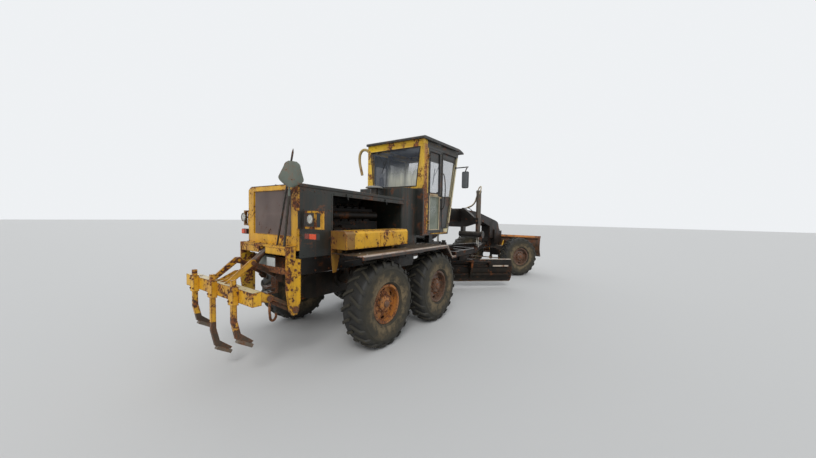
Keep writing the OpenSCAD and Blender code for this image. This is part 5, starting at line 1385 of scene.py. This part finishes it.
finish_piece(bm, "shovel_shaft", "chassis", "dark_wood")
bm = bmesh.new()
add_rod(bm, (-1935, -301, 1505), (-1935, -630, 2640), 12, 12)
add_rod(bm, (-1935, -630, 2640), (-1937, -642, 2682), 12, 12, tip=3)
finish_piece(bm, "crowbar", "chassis", "dark_iron")

# %% [markdown]
# Digging gear wears at its tips and shows its pins. The ripper's shanks are held by rows of
# bolts through its beam and carry bolted-on points, and each of its pins gets a collar.

# %% Ripper hardware
ARM = 400
ARM_TILT = math.radians(32)
BEAM_X = -1850 - ARM * math.cos(ARM_TILT)
PIN_Z = 700 + ARM * math.sin(ARM_TILT)
BEAM_Z = PIN_Z + 98
bm = bmesh.new()
add_bolts(bm, [(-2600, y + offset, z) for y in (-500, 0, 500) for z in (BEAM_Z - 60, BEAM_Z + 60)
               for offset in (-38, 38)], BACK, 11, 8)
for side in (-1, 1):
    add_rod(bm, (BEAM_X, side * 566, PIN_Z), (BEAM_X, side * 578, PIN_Z), 38, 20)
    add_rod(bm, (BEAM_X, side * 203, BEAM_Z + 282), (BEAM_X, side * 212, BEAM_Z + 282), 28, 20)
finish_piece(bm, "ripper_bolts", "ripper", "nut_iron", bevel=0.001)
bm = bmesh.new()
for y, base in ((-500, 440), (0, 240), (500, 440)):
    add_box(bm, (-2548, y - 27, base - 8), (-2352, y + 27, base + 34), Matrix.Rotation(ARM_TILT, 4, "Y"))
finish_piece(bm, "ripper_points", "ripper", "edge_steel", bevel=0.003)

# %% [markdown]
# The main blade stands turned on its turntable, so its hardware is laid out square, along the
# blade, and one matrix turns and moves it into place: the plough bolts of its edge, the ribs
# down its back and pale strips on its rail, a painted highlight where the top edge meets the sky.

# %% Main blade hardware
TURN_X = 3100
BLADE_PLACE = Matrix.Translation((TURN_X, 0, 0)) @ Matrix.Rotation(math.radians(42), 4, "Z")
bm = bmesh.new()
for y in range(-1760, 1761, 160):
    seat, ahead = BLADE_PLACE @ Vector((84, y, 238)), BLADE_PLACE @ Vector((94, y, 236))
    add_bolts(bm, [seat], ahead - seat, 12, 6)
finish_piece(bm, "edge_bolts", "blade", "edge_steel")
bm = bmesh.new()
for y in (-1500, -1000, -440, 100, 440, 1000, 1500):
    add_box(bm, (-6, y - 7, 250), (42, y + 7, 560))
bmesh.ops.transform(bm, matrix=BLADE_PLACE, verts=bm.verts)
finish_piece(bm, "blade_ribs", "blade", "oily_black", bevel=0.002)
# Pale strips at both ends of the rail's back face: a painted highlight of the blade's top edge.
bm = bmesh.new()
for side in (-1, 1):
    add_side_box(bm, side, (-113.5, 1270, 594), (-111, 1705, 632))
bmesh.ops.transform(bm, matrix=BLADE_PLACE, verts=bm.verts)
finish_piece(bm, "rail_highlight_strips", "blade", "pale_edge")

# %% [markdown]
# The front blade is a plate with a bolted edge and upright ribs behind. Its bolts lean with
# the plate's curve, and the ribs are thin boxes.

# %% Front blade hardware
bm = bmesh.new()
for x, z in ((7441, 620), (7437, 670)):
    add_bolts(bm, [(x, y, z) for y in range(-1370, 1371, 137)], (1, 0, 0.12), 12, 2)
finish_piece(bm, "front_edge_bolts", "dozer_blade", "edge_steel")
bm = bmesh.new()
for y in range(-1300, 1301, 260):
    add_box(bm, (7318, y - 6, 640), (7392, y + 6, 1200))
finish_piece(bm, "front_blade_ribs", "dozer_blade", "dark_brown", bevel=0.002)

# %% [markdown]
# The turntable hangs from a ring of bolts, and a motor on the drawbar turns it. The motor is
# two turned drums with a ring of screws, so cones with equal ends make it.

# %% Turntable bolts and motor
MOTOR_X = 2980
bm = bmesh.new()
add_bolts(bm, [(TURN_X + x, y, 938) for x, y in ring(24, 575)], UP, 13, 7)
finish_piece(bm, "turntable_bolts", "turntable", "nut_iron")
bm = bmesh.new()
add_bolts(bm, [(x, y, 1161) for x in (2870, 2960, 3050, 3130) for y in (-180, 180)], UP, 11, 8)
add_rod(bm, (MOTOR_X, 0, 1160), (MOTOR_X, 0, 1230), 80, 32)
add_rod(bm, (MOTOR_X, 0, 1228), (MOTOR_X, 0, 1290), 52, 24)
add_bolts(bm, [(MOTOR_X + x, y, 1230) for x, y in ring(8, 66)], UP, 7, 5)
finish_piece(bm, "turntable_motor", "drawbar", "dark_iron", bevel=0.002)

# %% [markdown]
# A cylinder's end carries a gland nut, a port at each end and steel pipe along its barrel. The
# pipes are curves with a round section, and one on the right lift cylinder loops pale over its
# top, as it does in the photo.

# %% Cylinders and pipes
LIFT_X = 3750
LIFT_Y = 620
bm = bmesh.new()
for side in (-1, 1):
    y = side * LIFT_Y
    for z in (1452, 2560):
        add_rod(bm, (LIFT_X, y, z), (LIFT_X, y, z + 58), 72, 32)
    for z in (1540, 2500):
        add_rod(bm, (LIFT_X, y, z), (LIFT_X - 60, y, z), 13, 12)
    add_bolts(bm, [(LIFT_X + out, y + across, 2620) for out, across in ring(6, 46)], UP, 8, 5)
finish_piece(bm, "lift_cylinder_ends", "chassis", "barrel_grey", bevel=0.002)
LOWER_PIPE = [(3694, LIFT_Y, 1540), (3672, 612, 1580), (3672, 560, 1900), (3690, 400, 2130),
              (3690, 160, 2150)]
UPPER_PIPE = [(3694, LIFT_Y, 2500), (3670, 606, 2460), (3664, 560, 2300), (3700, 380, 2170),
              (3720, 160, 2150)]
NECK_PIPE = [(1900, 1500), (2180, 1590), (2560, 1860), (2880, 2096), (3400, 2098), (4480, 2096),
             (5000, 2056), (6300, 1838)]
LOOP_PIPE = [(3700, -652, 2520), (3690, -700, 2640), (3720, -690, 2716), (3780, -640, 2726),
             (3810, -580, 2660), (3800, -540, 2480), (3740, -470, 2260), (3700, -300, 2160)]
routes = [[(x, side * y, z) for x, y, z in pipe] for side in (-1, 1) for pipe in (LOWER_PIPE, UPPER_PIPE)]
routes += [[(x, y, z) for x, z in NECK_PIPE] for y in (-60, -20, 20, 60)]
add_pipe("neck_pipes", routes, 10, "chassis", "dark_iron")
add_pipe("lift_cylinder_loop", [LOOP_PIPE], 15, "chassis", "pale_cloth")

# %% [markdown]
# The open bay shows the engine, dark with oil. Rocker covers, injector pipes, the belt, the
# fan's hub and its bolts are added here so that a look inside finds an engine.

# %% Engine dressing
CYLINDERS = range(-1010, -184, 165)
FAN_Z = 1760
CRANK_Z = 1400
BELT_X = -1084
bm = bmesh.new()
for x in CYLINDERS:
    round_edges(bm, add_box(bm, (x - 58, -120, 2008), (x + 58, 120, 2052)), 14, 3)
    add_bolts(bm, [(x, y, 2052) for y in (-60, 60)], UP, 9, 8)
    add_bolts(bm, [(x + step, y, 1960) for y in (-176, 176) for step in (-50, 50)], UP, 10, 8)
    add_bolts(bm, [(x + step, -232, z) for z in (1872, 1928) for step in (-34, 34)], RIGHT, 8, 6)
add_bolts(bm, [(x, -230, z) for x in range(-1020, 60, 90) for z in (1290, 1770)], RIGHT, 8, 5)
for x in (-760, -600):
    for z in (1690, 1452):
        add_torus(bm, 60, 5, 0, 32, 8, Matrix.Translation((x, -310, z)))
add_rod(bm, (-1232, 0, FAN_Z), (-1205, 0, FAN_Z), 74, 24)
add_bolts(bm, [(-1232, y, FAN_Z + rise) for y, rise in ring(6, 48)], BACK, 8, 5)
finish_piece(bm, "engine_fittings", "chassis", "oily_black", bevel=0.001)
routes = [[(x, 60, 2020), (x, 120, 2090), (-980 + i * 150, 200, 2060), (-900 + i * 110, 250, 1700)]
          for i, x in enumerate(CYLINDERS)]
add_pipe("injector_pipes", routes, 5, "chassis", "bare_steel")
routes = [[(-1100, -20, 1868), (-1300, 40, 1960), (-1500, 80, 2060), (-1668, 80, 2120)],
          [(-1090, 30, 1290), (-1300, 60, 1420), (-1500, 80, 1600), (-1668, 80, 1660)]]
add_pipe("radiator_hoses", routes, 26, "chassis", "black_rubber")
belt = []
for pulley_r, pulley_z, first, last in ((112, CRANK_Z, -80, 80), (62, FAN_Z, 100, 260)):
    for degrees in range(first, last + 1, 20):
        a = math.radians(degrees)
        belt.append((BELT_X, pulley_r * math.sin(a), pulley_z - pulley_r * math.cos(a)))
bm = bmesh.new()
add_loop(bm, belt, 7, 8)
finish_piece(bm, "fan_belt", "chassis", "black_rubber")

# %% [markdown]
# Last come the running gear's small parts: kingpin caps with their bolts, the bolts of the
# tandem cases' covers and those along the frame. They repeat, so each row is one call.

# %% Running gear and frame bolts
CASE_WALL = 791
FRAME_WALL = 386
KINGPIN_TOP = 832
for name, side in SIDES:
    bm = bmesh.new()
    y = side * KINGPIN_Y
    add_rod(bm, (FRONT_X, y, KINGPIN_TOP - 22), (FRONT_X, y, KINGPIN_TOP), 62, 28)
    add_bolts(bm, [(FRONT_X + out, y + across, KINGPIN_TOP) for out, across in ring(6, 46)], UP, 8, 6)
    finish_piece(bm, "kingpin_cap_" + name, "knuckle_" + name, "nut_iron", bevel=0.001)
bm = bmesh.new()
for side in (-1, 1):
    for hub_x in (REAR_X, MIDDLE_X):
        wall_bolts(bm, side, CASE_WALL, [(hub_x + out, 630 + rise) for out, rise in ring(10, 200)], 10, 6)
    wall_bolts(bm, side, CASE_WALL, [(x, z) for x in range(-500, 501, 125) for z in (820, 440)], 9, 6)
    wall_bolts(bm, side, FRAME_WALL, [(x, z) for x in range(-1650, 1700, 240) for z in (1290, 1120)], 12, 8)
    add_bolts(bm, [(x, side * 215, 1366) for x in (1760, 1850, 1940, 2010)], UP, 14, 10)
    wall_bolts(bm, side, 171, [(6850, z) for z in range(620, 1400, 110)], 12, 8)
finish_piece(bm, "frame_bolts", "chassis", "nut_iron")
